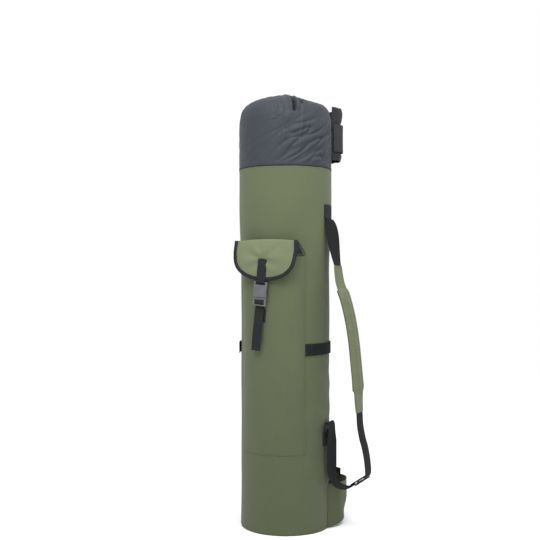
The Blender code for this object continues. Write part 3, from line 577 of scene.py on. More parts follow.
# Folds that the cord pulls deep: azimuth, depth, half width, nearest to the axis, lowest point.
DEEP_FOLDS = [
    (10.5, 0.030, 0.0027, 0.018, 0.896), (22, 0.024, 0.0030, 0.018, 0.914),
    (-27, 0.006, 0.0045, 0.020, 0.925), (150, 0.008, 0.0040, 0.045, 0.920),
    (-110, 0.007, 0.0050, 0.022, 0.915), (75, 0.006, 0.0045, 0.022, 0.920),
]
FORM_LINE = np.array([
    (0.0996, 0.70), (0.0996, 0.80), (0.0996, 0.878), (0.0988, 0.895), (0.0950, 0.911), (0.0875, 0.9230),
    (0.0765, 0.9310), (0.0605, 0.9375), (0.0435, 0.9415), (0.0270, 0.9435), (0.0060, 0.9440),
])


def pleats(azimuth):
    """Gathers round the mouth: uneven folds, sharper at their crests."""
    turn = np.radians(azimuth)
    wave = np.sin(turn * 17 + 1.9 * np.sin(turn * 3 + 0.6))
    fine = np.sin(turn * 31 + 2.3 * np.sin(turn * 2))
    return 0.75 * (1 - np.abs(wave)) ** 1.3 + 0.125 * fine


def slant_noise(azimuth, z, degrees, scale, seed):
    """Noise in long waves that climb at a slant, the same on both sides of azimuth 180."""
    girth, slant = girth_at(azimuth), math.radians(degrees)
    along = girth * math.cos(slant) + z * math.sin(slant)
    cross = z * math.cos(slant) - girth * math.sin(slant)
    closing = 0.03 * np.cos(np.radians(azimuth))
    return roll(np.stack([along, cross, closing], -1), (*scale, 0.03), seed)


def uncut_collar(s, t):
    """The collar before it is drawn in: an upright tube of cloth with slanted wrinkles already in it."""
    azimuth, z = 180 + 360 * s, COLLAR_FOOT + CLOTH_HEIGHT * t
    folds = slant_noise(azimuth, z, 34, (0.070, 0.0125), 4.4)
    crisp = slant_noise(azimuth, z, 34, (0.030, 0.0065), 14.2)
    right = 0.15 + 0.85 * ease((girth_at(azimuth) + 0.05) / 0.10)
    waves = 0.0040 * (1 - np.abs(folds)) ** 4 * right + 0.0016 * crisp * right
    return around(azimuth, CLOTH_RADIUS + waves * ease((t - 0.02) / 0.06), z)


def cloth_on(obj, frames, held, gravity, quality, mass, damping, tension, compression, shear, bending):
    """A Cloth modifier on an object, with the points that are held still or moved by a shape key pinned."""
    pins = obj.vertex_groups.new(name="pins")
    pins.add([int(i) for i in np.nonzero(held)[0]], 1.0, "REPLACE")
    modifier = obj.modifiers.new("cloth", "CLOTH")
    settings = modifier.settings
    settings.quality, settings.mass, settings.air_damping = quality, mass, damping
    settings.tension_stiffness, settings.compression_stiffness = tension, compression
    settings.shear_stiffness, settings.bending_stiffness = shear, bending
    settings.vertex_group_mass = "pins"
    settings.effector_weights.gravity = gravity
    modifier.point_cache.frame_end = frames
    return modifier


def step_cloth(obj, frames):
    """Steps the object's Cloth modifier and returns its last shape, with nothing else left on the mesh."""
    scene = bpy.context.scene
    scene.frame_start, scene.frame_end = 1, frames
    for frame_number in range(1, frames + 1):
        scene.frame_set(frame_number)
    shape = obj.evaluated_get(bpy.context.evaluated_depsgraph_get()).data
    points = np.empty(len(shape.vertices) * 3, np.float32)
    shape.vertices.foreach_get("co", points)
    obj.modifiers.clear()
    if obj.data.shape_keys:
        obj.shape_key_clear()
    obj.vertex_groups.clear()
    scene.frame_set(1)
    return points.reshape(-1, 3).astype(float)


def draw_in(cloth):
    """Pulls the collar's top edge in and round to the mouth's ring, over a form the shape of its contents."""
    def form_place(s, t):
        where, steps = t * (len(FORM_LINE) - 1), np.arange(len(FORM_LINE))
        radius, z = (np.interp(where, steps, column) for column in FORM_LINE.T)
        return around(360 * s, radius, z)

    form = surface("collar_form", form_place, 96, 40, (1, 1), FINISH["collar"], closed=True)
    form.modifiers.new("collision", "COLLISION")
    form.collision.thickness_outer, form.collision.cloth_friction = 0.0010, 6
    s, t = grid(CLOTH_COLUMNS, CLOTH_ROWS, closed=True)
    azimuth, z = 180 + 360 * s, COLLAR_FOOT + CLOTH_HEIGHT * t
    drawn = around(azimuth, CLOTH_RADIUS, z)
    top, bottom = t > 0.985, t < 0.03
    wave = np.sin(np.radians(azimuth) * 15 + 1.2 * np.sin(np.radians(azimuth) * 2))
    drawn[top] = around(azimuth + DRAWN_TURN, DRAWN_RADIUS + 0.0032 * wave, HEM_HEIGHT)[top]
    cloth.shape_key_add(name="flat")
    key = cloth.shape_key_add(name="drawn")
    key.data.foreach_set("co", drawn.astype(np.float32).ravel())
    for value, frame_number in ((0, 1), (1, DRAWN_BY)):
        key.value = value
        key.keyframe_insert("value", frame=frame_number)
    modifier = cloth_on(cloth, COLLAR_FRAMES, top | bottom, gravity=0.15, quality=6, mass=0.12,
                        damping=1.5, tension=25, compression=20, shear=8, bending=0.06)
    modifier.collision_settings.distance_min = 0.0008
    points = step_cloth(cloth, COLLAR_FRAMES)
    bpy.data.objects.remove(form)
    return points


def polar(points):
    """Distances from the tube's axis and azimuths."""
    return np.hypot(points[:, 0], points[:, 1]), np.degrees(np.arctan2(points[:, 0], -points[:, 1]))


def lift_off_form(points):
    """Moves cloth that fell into the form out of it, and lowers what stands high above the form's top."""
    radius, azimuth = polar(points)
    out_to = np.interp(points[:, 2], FORM_LINE[:, 1], FORM_LINE[:, 0]) + FORM_GAP
    up_to = np.interp(radius, FORM_LINE[::-1, 0], FORM_LINE[::-1, 1]) + FORM_GAP
    rise, push = up_to - points[:, 2], out_to - radius
    inside = (rise > 0) & (push > 0)
    radius = np.where(inside & (push <= rise), out_to, radius)
    z = np.where(inside & (rise < push), up_to, points[:, 2])
    settled = up_to + TOP_SLACK * (1 - np.exp(-np.maximum(z - up_to, 0) / TOP_SLACK))
    on_top = ease((radius - 0.022) / 0.02) * ease((z - 0.915) / 0.012) * (z > up_to)
    return around(azimuth, np.minimum(radius, COLLAR_OUTSIDE), z + (settled - z) * on_top)


def press_deep_folds(points):
    """Presses in the folds that the cord pulls deep: down on the collar's top, inwards on its wall."""
    for middle, depth, half, inner, low in DEEP_FOLDS:
        angle = math.radians(middle)
        side = points[:, 0] * math.cos(angle) + points[:, 1] * math.sin(angle)
        out = points[:, 0] * math.sin(angle) - points[:, 1] * math.cos(angle)
        reach = ease((out - inner) / 0.016) * ease((points[:, 2] - low) / 0.016)
        narrowing = half * (0.45 + 0.55 * ease((points[:, 2] - low) / 0.035))
        fold = np.exp(-((side / narrowing) ** 2)) * reach
        beside = np.exp(-(((np.abs(side) - 2.6 * half) / (1.3 * half)) ** 2)) * reach
        flat = ease((points[:, 2] - 0.905) / 0.028)
        move = depth * fold - 0.13 * depth * beside
        points[:, 2] -= move * (0.25 + 0.75 * flat)
        points[:, 0] -= move * (1 - 0.8 * flat) * math.sin(angle)
        points[:, 1] += move * (1 - 0.8 * flat) * math.cos(angle)


def settle_collar(points):
    """Keeps the drawn collar off the foam and inside its room, and adds its deep and its slanted folds."""
    points = lift_off_form(points)
    press_deep_folds(points)
    radius, azimuth = polar(points)
    z, girth = points[:, 2], girth_at(azimuth)
    folds = slant_noise(azimuth, z, 32, (0.058, 0.0140), 24.4)
    small = slant_noise(azimuth, z, 32, (0.030, 0.0070), 34.4)
    where = ease((z - COVER_TOP - 0.003) / 0.012) * ease((0.905 - z) / 0.05)
    where *= 0.12 + 0.88 * ease((girth + 0.05) / 0.09) * ease((0.16 - girth) / 0.05)
    lift = where * (0.0034 - 0.0068 * (1 - np.abs(folds)) ** 5 + 0.0010 * small)
    radius = np.clip(radius + lift, np.minimum(radius, COLLAR_INSIDE), COLLAR_OUTSIDE)
    room = np.ones_like(radius)
    for wrap_azimuth, half, _ in ROD_WRAPS.values():
        room = np.minimum(room, ease((np.abs(azimuth % 360 - wrap_azimuth) - half - 9) / 9))
    points = around(azimuth, np.minimum(radius, UNDER_WRAP + (COLLAR_OUTSIDE - UNDER_WRAP) * room), z)
    sink = 0.0020 + 0.0050 * ease(points[:, 0] / 0.03)
    sink = sink * ease((0.096 - radius) / 0.025) * ease((radius - 0.022) / 0.012)
    points[:, 2] = np.minimum(points[:, 2] - sink, COLLAR_CEILING)
    return points


def make_collar():
    size = (2 * math.pi * CLOTH_RADIUS, CLOTH_HEIGHT)
    collar = surface("collar_cloth", uncut_collar, CLOTH_COLUMNS, CLOTH_ROWS, size, FINISH["collar"],
                     closed=True)
    set_points(collar, settle_collar(draw_in(collar)))
    thickness = collar.modifiers.new("thickness", "SOLIDIFY")
    thickness.thickness, thickness.offset = 0.0006, 1.0
    smooth = collar.modifiers.new("smooth", "SUBSURF")
    smooth.levels = smooth.render_levels = 1
    dress(collar, "root", "collar_nylon", "collar")
    seam(("root", "black_thread"), uncut_collar, [(0, 0.022), (1, 0.022)], 0.0007, count=700)

    def tape_place(s, t):
        """The rolled edge where the collar is sewn to the cover, in black tape that also stands in for the
        shadow line along the seam: partly painted shadow.
        """
        azimuth, angle = 360 * t, 2 * math.pi * (1 - s)
        wobble = 0.00035 * roll(around(azimuth, 0.1, 0 * t), (0.02, 0.02, 0.02), 12.0)
        radius = 0.1021 + 0.0007 * np.cos(angle)
        return around(azimuth, radius, COVER_TOP - 0.0004 + wobble + 0.0012 * np.sin(angle))

    tape = surface("collar_seam_tape_and_painted_shadow", tape_place, 8, 200, (0.006, 0.64), FINISH["tape"], closed=True)
    dress(tape, "root", "binding_tape")

    def hem_place(s, t):
        """A rolled hem, crumpled by the cord that draws it in, open where the cord leaves it."""
        azimuth = 208 + 304 * t
        angle = 2 * math.pi * s
        crumple = 0.0011 * pleats(azimuth) + 0.0006 * roll(around(azimuth, 0.02, 0 * t), 0.004, 3.0)
        section = 0.0036 + crumple
        radius = HEM_RING + section * np.cos(angle)
        z = HEM_HEIGHT - 0.0012 + section * np.sin(angle) + 0.0010 * np.sin(np.radians(azimuth) * 5)
        return around(azimuth, radius, z)

    hem = surface("mouth_hem_cloth", hem_place, 18, 260, (0.026, 0.1), FINISH["collar"], 0.0006, True, -1.0)
    dress(hem, "root", "collar_nylon", "mouth_hem")


def make_drawcord():
    """The round cord in the hem, with both ends out to the lock."""
    half = [
        (0.0024, 0.065, 0.9485), (0.0024, 0.052, 0.9485), (0.0024, 0.045, 0.9478), (0.0024, 0.034, 0.9500),
        (0.0024, 0.0250, 0.9497), (0.0028, 0.0210, 0.9490), (0.0040, 0.0180, 0.9472),
    ]
    ring = [tuple(around(180 - 25 - 310 * i / 24, HEM_RING, HEM_HEIGHT)) for i in range(25)]
    route = [*half, *ring, *[(-x, y, z) for x, y, z in half[::-1]]]
    path = smooth_path(route, CORD_ROWS + 1)
    slope = np.gradient(path, axis=0)
    slope /= np.linalg.norm(slope, axis=1)[:, None]
    side = np.cross(slope, (0.31, 0.17, 1.0))
    side /= np.linalg.norm(side, axis=1)[:, None]
    up = np.cross(side, slope)

    def place(s, t):
        angle = (2 * math.pi * s)[:, None]
        return at(path, t) + (at(side, t) * np.cos(angle) + at(up, t) * np.sin(angle)) * CORD_RADIUS

    size = (2 * math.pi * CORD_RADIUS, run(path)[-1])
    cord = surface("drawcord_braided", place, CORD_SIDES, CORD_ROWS, size, FINISH["cord"], closed=True)
    close_ends(cord, CORD_SIDES)
    dress(cord, "root", "black_webbing", "drawcord")


# ---------------------------------------------------------------- the pocket and its flap

def pocket_depth(s, up):
    edge = 1 - np.abs(2 * s - 1) ** 6
    return (0.003 + 0.0085 * up**1.5) * edge * (1 - (1 - up) ** 10)


def pocket_place(s, t):
    x = np.sin((s - 0.5) * math.pi)
    azimuth = POCKET_AZIMUTH + POCKET_HALF * x
    up = 1 - np.cos(t * math.pi / 2)
    z = POCKET_LOW + (POCKET_TOP - 0.0005 - POCKET_LOW) * up
    points = around(azimuth, RADIUS, z)
    waves = 0.0011 * roll(points, (0.03, 0.03, 0.13), 21.0) + 0.0009 * roll(points, (0.06, 0.06, 0.05), 25.0)
    inside = 1 - np.abs(x) ** 10
    on_cover = cover_radius(azimuth, z) + FABRIC + 0.0001
    radius = on_cover + pocket_depth(x / 2 + 0.5, up) + waves * inside * (1 - (1 - up) ** 6)
    return around(azimuth, radius, z)


def make_pocket():
    width = 2 * math.radians(POCKET_HALF) * 0.104
    height = POCKET_TOP - POCKET_LOW
    panel = surface("pocket_cloth", pocket_place, 90, 90, (width, height), FINISH["cover"], FABRIC)
    dress(panel, "root", "cover_fabric", "pocket_panel", "pocket_mouth_hem")
    thread = ("root", "olive_thread")
    for inset in (0.030, 0.055):
        left, right, foot = inset, 1 - inset, 0.05 + inset
        seam(thread, pocket_place, [(left, 0.98), (left, foot), (right, foot), (right, 0.98)], FABRIC)
    for row in (0.965, 0.985):
        seam(thread, pocket_place, [(0.03, row), (0.97, row)], FABRIC)


def flap_half_width(z, inset):
    """Half the flap's width at a height: a little narrower at the fold, and an oval end below."""
    tall, bottom = FLAP_OVAL - inset, FLAP_BOTTOM + inset
    half = FLAP_HALF - inset + (FLAP_HALF_TOP - FLAP_HALF) * ease((z - 0.598) / 0.028)
    drop = np.clip((bottom + tall - z) / tall, 0, 1)
    return half * (1 - drop**FLAP_POWER) ** (1 / FLAP_POWER)


def flap_lean(side, z):
    """The flap hangs askew: its +X half is wider at the fold and narrower below."""
    skew = 0.035 * ease((z - 0.605) / 0.02) - 0.070 * ease((0.612 - z) / 0.035)
    return side * np.where(side > 0, 1 + skew, 1.0)


def flap_press(side, z):
    """How far the cloth puffs out: on both sides of the webbing that holds it down, and not at its edges."""
    webbing = -0.0065 - (0.588 - z) * 0.085
    puff = 0.0050 * np.cos(np.clip(side / FLAP_HALF, -1, 1) * math.pi / 2) ** 0.7
    puff = puff * (1 - 0.93 * bump(side, webbing, 0.021) * ease((0.600 - z) / 0.02))
    return puff * np.sin(np.clip((FLAP_TOP - z) / (FLAP_TOP - FLAP_BOTTOM), 0, 1) * math.pi) ** 0.8


def flap_place(s, t, inset=0.002):
    """From the row sewn on the tube, out and up to the fold, over it, and down to the bottom edge."""
    x = 2 * s - 1
    back = np.clip(t / FOLD_AT, 0, 1)
    front = np.clip((t - FOLD_AT - FOLD_SPAN) / (1 - FOLD_AT - FOLD_SPAN), 0, 1)
    over = np.clip((t - FOLD_AT) / FOLD_SPAN, 0, 1) * math.pi
    sewn = around(POCKET_AZIMUTH + POCKET_HALF * x, RADIUS + 0.0018, SEWN_HEIGHT)
    crest = FLAP_TOP - 0.0045 * x**2
    fold = turned(FLAP_AZIMUTH, flap_lean(x * FLAP_HALF_TOP, crest), FLAP_RADIUS - 0.0022, crest)
    sag = 0.0025 * np.sin(back * math.pi) * (1 - x**2)
    rising = sewn + (fold - sewn) * back[:, None]
    rising[:, 2] += sag
    bend, fold_out = 0.0016, FLAP_RADIUS - 0.0006
    narrowed = flap_lean(x * (FLAP_HALF_TOP - inset * over / math.pi), crest)
    arch = turned(FLAP_AZIMUTH, narrowed, fold_out - bend * np.cos(over), crest + bend * np.sin(over))
    z = crest - (crest - FLAP_BOTTOM - inset) * np.sin(front * math.pi / 2)
    side = flap_lean(x * flap_half_width(z, inset), z)
    waves = 0.0009 * roll(turned(FLAP_AZIMUTH, side, 0.115, z), (0.035, 0.035, 0.03), 31.0)
    turn, reach = np.arctan2(z - 0.586, side + 0.0065), np.hypot(z - 0.586, side + 0.0065)
    creases = 0.0012 * (1 + np.sin(turn * 6 + 0.8)) * ease(reach / 0.02) * ease((0.058 - reach) / 0.03)
    creases *= ease((z - FLAP_BOTTOM - 0.006) / 0.02) * ease((0.066 - np.abs(side)) / 0.015)
    waves = np.abs(waves) + creases
    hanging = turned(FLAP_AZIMUTH, side, FLAP_RADIUS + 0.0010 + flap_press(side, z) + waves, z)
    points = np.where((t <= FOLD_AT)[:, None], rising, arch)
    return np.where((front > 0)[:, None], hanging, points)


def make_flap():
    size = (0.15, 0.125)
    flap = surface("flap_cloth", flap_place, 80, 110, size, FINISH["flap"], 0.0007)
    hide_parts("flap_panel", "flap_back")

    def rim(inset, steps=90):
        """The flap's edge as (side, height), inset, from its top corner at +X down and round to -X."""
        angle = np.concatenate([np.linspace(0, 80, 17), [84, 87, 90]])
        tall = FLAP_OVAL - inset
        z = FLAP_BOTTOM + inset + tall - tall * np.sin(np.radians(angle)) ** (2 / FLAP_POWER)
        z = np.concatenate([np.linspace(FLAP_TOP - 0.001, z[0], 8)[:-1], z])
        side = flap_half_width(z, inset)
        half = list(zip(side, z))
        line = np.array(half[:-1] + [(0.0, z[-1])] + [(-u, v) for u, v in half[-2::-1]])
        line[:, 0] = flap_lean(line[:, 0], line[:, 1])
        return resample(line, steps)

    path = rim(0.0024)
    slope = np.gradient(path, axis=0)
    inward = np.stack([slope[:, 1], -slope[:, 0]], -1)
    inward /= np.linalg.norm(inward, axis=1)[:, None]

    def binding_place(s, t):
        """A folded tape round the edge: a flat loop in section, slightly puckered along its length."""
        centre, turn_in = at(path, t), at(inward, t)
        angle = 2 * math.pi * s
        pucker = 0.00025 * np.sin(t * 170) + 0.0002 * np.sin(t * 71 + 1)
        across = -signed_power(np.cos(angle), 0.5) * 0.0040
        thick = signed_power(np.sin(angle), 0.7) * (0.0014 + pucker)
        side = centre[:, 0] + turn_in[:, 0] * (across + 0.0012)
        z = centre[:, 1] + turn_in[:, 1] * (across + 0.0012)
        lift = np.clip(flap_press(side, z), 0, 0.0018)
        return turned(FLAP_AZIMUTH, side, FLAP_RADIUS + 0.0010 + thick + lift, z)

    binding = surface("flap_binding_tape", binding_place, 16, 260, (0.018, 0.31), FINISH["tape"], closed=True)
    dress(binding, "flap", "binding_tape", "flap_binding")

    def lining_place(s, t):
        z = FLAP_TOP - 0.001 - (FLAP_TOP - 0.001 - FLAP_BOTTOM - 0.003) * np.sin(t * math.pi / 2)
        side = flap_lean((1 - 2 * s) * flap_half_width(z, 0.003), z)
        return turned(FLAP_AZIMUTH, side, FLAP_RADIUS - 0.0008, z)

    lining = surface("flap_lining_cloth", lining_place, 30, 40, (0.14, 0.085), FINISH["lining"], 0.0004,
                     sharp=False)
    dress(lining, "flap", "lining", "flap_lining")

    # A dark sheet laid over the outer face of the strip behind the fold: painted shade, for the shade between
    # the flap and the pocket.
    def strip_shade_place(s, t):
        below = turned(FLAP_AZIMUTH, 0.0, 0.0012, -0.0008)
        return flap_place(0.012 + 0.976 * s, (0.06 + 0.90 * t) * FOLD_AT) + below

    strip = surface("flap_back_painted_shade", strip_shade_place, 60, 20, (0.14, 0.04), FINISH["lining"], 0.0003,
                    sharp=False)
    dress(strip, "root", "lining")

    for end, sign in (("left", -1), ("right", 1)):
        def edge_place(s, t, sign=sign):
            """Tape on the cut end of the strip behind the fold."""
            base = flap_place(np.full_like(t, 0.5 + 0.5 * sign), t * FOLD_AT)
            angle = 2 * math.pi * s
            outward = turned(FLAP_AZIMUTH, sign * 1.0, 0.0, 0.0)
            forward = turned(FLAP_AZIMUTH, 0.0, 1.0, 0.0)
            thick = (np.sin(angle) * 0.0014)[:, None]
            wide = (np.cos(angle) * 0.0032 - 0.0015)[:, None]
            return base + outward * wide + forward * thick

        tape = surface(f"flap_back_tape_{end}", edge_place, 12, 24, (0.014, 0.05), FINISH["tape"],
                       closed=True)
        dress(tape, "root", "binding_tape")

    inner = rim(0.0062, 120)

    def stitch_place(s, t):
        side, z = at(inner, s).T
        z = z + t * 0.001
        return turned(FLAP_AZIMUTH, -side, FLAP_RADIUS + 0.0030 + np.clip(flap_press(side, z), 0, 0.0018), z)

    seam(("flap", "black_thread"), stitch_place, [(0.01, 0), (0.99, 0)], 0.0, count=400)
    seam(("root", "olive_thread"), flap_place, [(0.02, 0.03), (0.98, 0.03)], 0.0008)
    tuple(turned(FLAP_AZIMUTH, 0.0, FLAP_RADIUS - 0.0022, FLAP_TOP))
    tuple(turned(FLAP_AZIMUTH, 0.0, FLAP_RADIUS + 0.0008, FLAP_TOP))
    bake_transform(flap)


# ---------------------------------------------------------------- webbing

def buckle_points(side, depth, z):
    """Points in the buckle's leaned frame. Depth grows inwards."""
    lean = math.radians(BUCKLE_LEAN)
    leaned = side * math.cos(lean) + z * math.sin(lean)
    upright = z * math.cos(lean) - side * math.sin(lean)
    return turned(BUCKLE_AZIMUTH, leaned + BUCKLE_SIDE, BUCKLE_BACK - depth, BUCKLE_HEIGHT + upright)


def buckle_webbing(name, line, node, body, rows, corners=False):
    path = resample(np.array(line), rows + 1) if corners else smooth_path(line, rows + 1)

    def place(s, t):
        point, normal = on_path(path, t)
        side = (s - 0.5) * 0.020
        curl = 0.0003 * (2 * s - 1) ** 2
        depth, z = (point + normal * curl[:, None]).T
        return buckle_points(side, depth, z)

    size = (0.020, run(path)[-1])
    strap = surface(name, place, 8, rows, size, FINISH["webbing"], WEBBING * 0.92, offset=0.0)
    dress(strap, body, "black_webbing", node)
    return place


def make_buckle_webbing():
    angles = np.radians(np.arange(200, 341, 20))
    round_bar = [(-0.0035 + 0.0030 * math.cos(a), 0.0311 + 0.0030 * math.sin(a)) for a in angles]
    line = [
        (-0.0065, 0.0815), (-0.0071, 0.070), (-0.0075, 0.056), (-0.0068, 0.040), (-0.0065, 0.0330),
        *round_bar, (-0.0006, 0.0345),
    ]
    place = buckle_webbing("flap_webbing_strap", line, "flap_webbing", "flap", 60)
    box_seam(("flap", "black_thread"), place, (0.10, 0.90), (0.02, 0.22), 0.0008, 0.0030, diagonals=2)
    tail = [
        (0.0003, -0.0112), (0.0003, -0.0080), (-0.0004, -0.0068), (-0.0067, -0.0068), (-0.0074, -0.0076),
        (-0.0074, -0.0129), (-0.0067, -0.0137), (-0.0004, -0.0137), (0.0003, -0.0145), (0.0002, -0.0200),
        (-0.0012, -0.0320), (-0.0030, -0.0520), (-0.0044, -0.0760), (-0.0041, -0.0980), (-0.0036, -0.1130),
    ]
    place = buckle_webbing("adjuster_tail_strap", tail, "adjuster_tail", "plug", 90, corners=True)
    seam(("plug", "black_thread"), place, [(0.08, 0.965), (0.92, 0.965)], 0.0008, 0.0026)
    low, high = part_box("pocket_anchor_webbing")

    def anchor(s, t):
        points = buckle_points((s - 0.5) * 0.020 + 0.003, 0 * s, -0.052 + 0.026 * t)
        radius = np.hypot(points[:, 0], points[:, 1])
        goal = np.interp(points[:, 2], (low[2], high[2]), (0.1064, 0.1084))
        return np.stack([points[:, 0] * goal / radius, points[:, 1] * goal / radius, points[:, 2]], -1)

    stub = surface("pocket_anchor_strap", anchor, 6, 8, (0.020, 0.026), FINISH["webbing"], 0.0010)
    dress(stub, "root", "black_webbing", "pocket_anchor_webbing")
    box_seam(("root", "black_thread"), anchor, (0.1, 0.9), (0.1, 0.5), 0.0011, 0.0028)


def strap_ribbon(name, line, width, finish, rows, nodes, thickness=WEBBING, end_width=None, cup=0.0006,
                 twist=None):
    """A flat strap in the strap's upright plane, a little cupped across its width."""
    path = smooth_path(line, rows + 1)

    def place(s, t):
        point, normal = on_path(path, t)
        wide = width + ((end_width or width) - width) * t
        across = (s - 0.5) * wide
        raised = cup * (1 - (2 * s - 1) ** 2)
        if twist:
            raised = raised + np.sin(np.radians(twist(t))) * across
        radius, z = (point + normal * raised[:, None]).T
        return turned(STRAP_AZIMUTH, across, radius, z)

    strap = surface(name, place, 10, rows, (width, run(path)[-1]), finish, thickness, offset=0.0)
    if nodes:
        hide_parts(*nodes)
    return strap, place


def patch(name, node, radius, low, high):
    """A doubled webbing patch sewn flat on the tube, with a stitched box and cross."""
    half = math.degrees(WEBBING_WIDTH / 2 / RADIUS_TOP)

    def place(s, t):
        return around(STRAP_AZIMUTH + half * (2 * s - 1), radius, low + (high - low) * t)

    made = surface(name, place, 16, 8, (WEBBING_WIDTH, high - low), FINISH["webbing"], 0.0022)
    dress(made, "root", "black_webbing", node)
    box_seam(("root", "black_thread"), place, (0.08, 0.92), (0.1, 0.9), 0.0023, 0.003, diagonals=2)


def make_strap():
    low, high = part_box("strap_anchor_upper"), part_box("strap_anchor_lower")
    patch("strap_patch_upper", "strap_anchor_upper", RADIUS_TOP + 0.0002, low[0][2], low[1][2])
    patch("strap_patch_lower", "strap_anchor_lower", RADIUS + 0.0008, high[0][2], high[1][2])
    black = FINISH["strap_web"]
    upper, _ = strap_ribbon("strap_upper_web", UPPER_LINE, WEBBING_WIDTH, black, 60,
                            ["strap_webbing_upper", "strap_webbing_stub"],
                            twist=lambda t: 20 * np.sin(math.pi * t**0.6))
    tuple(around(STRAP_AZIMUTH, 0.105, 0.672))
    tuple(around(STRAP_AZIMUTH, 0.105, 0.630))
    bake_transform(upper)

    tabs = (("upper", UPPER_TAB, 0.042, 0.052), ("lower", LOWER_TAB, 0.052, 0.040))
    for end, line, width, end_width in tabs:
        tab, place = strap_ribbon(f"strap_tab_{end}_cloth", line, width, FINISH["pad"], 30,
                                  [f"strap_tab_{end}"], 0.0032, end_width)
        dress(tab, "strap", "cover_fabric")
        box_seam(("strap", "olive_thread"), place, (0.08, 0.92), (0.05, 0.95), 0.0018, 0.003)

    lower, _ = strap_ribbon("strap_lower_web", LOWER_LINE, WEBBING_WIDTH, black, 150, ["strap_webbing_lower"],
                            twist=lambda t: -10 * ease((t - 0.80) / 0.15))
    dress(lower, "strap", "black_webbing")
    ring, _ = strap_ribbon("strap_ring_web", RING_LINE, WEBBING_WIDTH, black, 70, ["strap_ring_loop"],
                           twist=lambda t: -10 * ease((0.72 - t) / 0.4))
    tuple(around(STRAP_AZIMUTH, 0.1104, 0.156))
    tuple(around(STRAP_AZIMUTH, 0.1104, 0.200))
    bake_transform(ring)
    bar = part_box("ring_keeper")
    angles = np.radians(np.arange(0, 181, 30))
    over_ring = [(0.1050 - 0.0029 * math.cos(a), 0.2155 + 0.0029 * math.sin(a)) for a in angles]
    keeper_line = [(0.1018, bar[0][2] + 0.0006), *over_ring, (0.1077, 0.2122)]
    keeper, _ = strap_ribbon("ring_keeper_web", keeper_line, WEBBING_WIDTH - 0.004, black, 24,
                             ["ring_keeper"], 0.0012, cup=0.0)
    dress(keeper, "root", "black_webbing")
    back, _ = strap_ribbon("strap_glide_web", GLIDE_RETURN, WEBBING_WIDTH - 0.001, black, 40, [])
    dress(back, "strap", "black_webbing")
    hump_line = [GLIDE_CENTRE + along * GLIDE_ALONG + out * GLIDE_OUT for along, out in GLIDE_HUMP]
    hump, _ = strap_ribbon("strap_glide_hump", hump_line, WEBBING_WIDTH, black, 16, [])
    dress(hump, "glide", "black_webbing")
    make_pad()


def make_pad():
    """The pad: a stuffed sleeve with two sewn channels, pulled in at its ends, on a black backing."""
    path = smooth_path(PAD_LINE, 120)
    channels = (-0.36, 0.36)

    def fullness(t):
        return np.clip(np.minimum(t, 1 - t) / 0.05, 0, 1) ** 0.5

    def width_at(s):
        return signed_power(np.cos(2 * math.pi * s), PAD_SQUARENESS)

    def place(s, t):
        point, normal = on_path(path, t)
        angle = 2 * math.pi * s
        wide, thick = width_at(s), signed_power(np.sin(angle), 0.85)
        full = fullness(t)
        half = PAD_WIDTH / 2 * (0.86 + 0.14 * full)
        across = half * wide
        crease = sum(bump(wide, c, 0.07) for c in channels)
        outer = np.where(np.sin(angle) > 0, 1.0, 0.85)
        puff = PAD_THICKNESS / 2 * (0.35 + 0.65 * full) * (1 - 0.42 * crease * np.clip(full, 0, 1))
        lumps = 0.0007 * roll(np.stack([across, t * 0.23, thick * 0.01], -1), (0.03, 0.018, 0.02), 17.0)
        gathers = 0.0006 * np.sin(t * 150 + 3 * np.sin(t * 23)) * crease
        raised = thick * puff * outer + (lumps + gathers) * np.abs(thick)
        radius, z = (point + normal * raised[:, None]).T
        return turned(STRAP_AZIMUTH, across, radius, z)

    pad = surface("strap_pad_cloth", lambda s, t: place(1 - s, t), PAD_COLUMNS, PAD_ROWS, (0.13, 0.24),
                  FINISH["pad"], closed=True)
    s, t = grid(PAD_COLUMNS, PAD_ROWS, closed=True)
    sewn = np.min([np.abs(width_at(1 - s) - c) for c in channels], axis=0) < 0.055
    stuff(pad, sewn | (np.sin(2 * math.pi * (1 - s)) < 0.12) | (np.minimum(t, 1 - t) < 0.02))
    close_ends(pad, PAD_COLUMNS)
    dress(pad, "strap", "cover_fabric", "strap_pad")

    def backing_place(s, t):
        point, normal = on_path(path, 0.02 + 0.96 * t)
        across = (s - 0.5) * (PAD_WIDTH - 0.014) * (0.88 + 0.12 * fullness(0.02 + 0.96 * t))
        sink = PAD_THICKNESS / 2 * 0.86 + 0.0004
        radius, z = (point - normal * sink).T
        return turned(STRAP_AZIMUTH, across, radius, z)

    backing = surface("strap_pad_backing_mesh", backing_place, 16, 90, (0.053, 0.22), FINISH["lining"],
                      0.0010, offset=0.0)
    dress(backing, "strap", "black_webbing", "strap_pad_backing")

    def line_place(s, t):
        """The pad's outer face, s across its width."""
        cosine = np.clip(signed_power(1 - 2 * s, 1 / PAD_SQUARENESS), -1, 1)
        return place(np.arccos(cosine) / (2 * math.pi), t)

    for channel in channels:
        s = 0.5 - channel / 2
        seam(("strap", "olive_thread"), line_place, [(s, 0.04), (s, 0.96)], 0.0003, 0.0034, 300)


def stuff(obj, held):
    """Blows a sleeve up from inside with the Cloth modifier, held at its seams and against its backing."""
    start = get_points(obj)
    modifier = cloth_on(obj, PAD_FRAMES, held, gravity=0, quality=5, mass=0.15, damping=2.0,
                        tension=12, compression=6, shear=4, bending=0.05)
    modifier.settings.use_pressure, modifier.settings.uniform_pressure_force = True, 5.0
    move = step_cloth(obj, PAD_FRAMES) - start
    length = np.linalg.norm(move, axis=1)
    set_points(obj, start + move * (np.minimum(length, PAD_SWELL) / np.maximum(length, 1e-9))[:, None])


# ---------------------------------------------------------------- the band and the rod stations

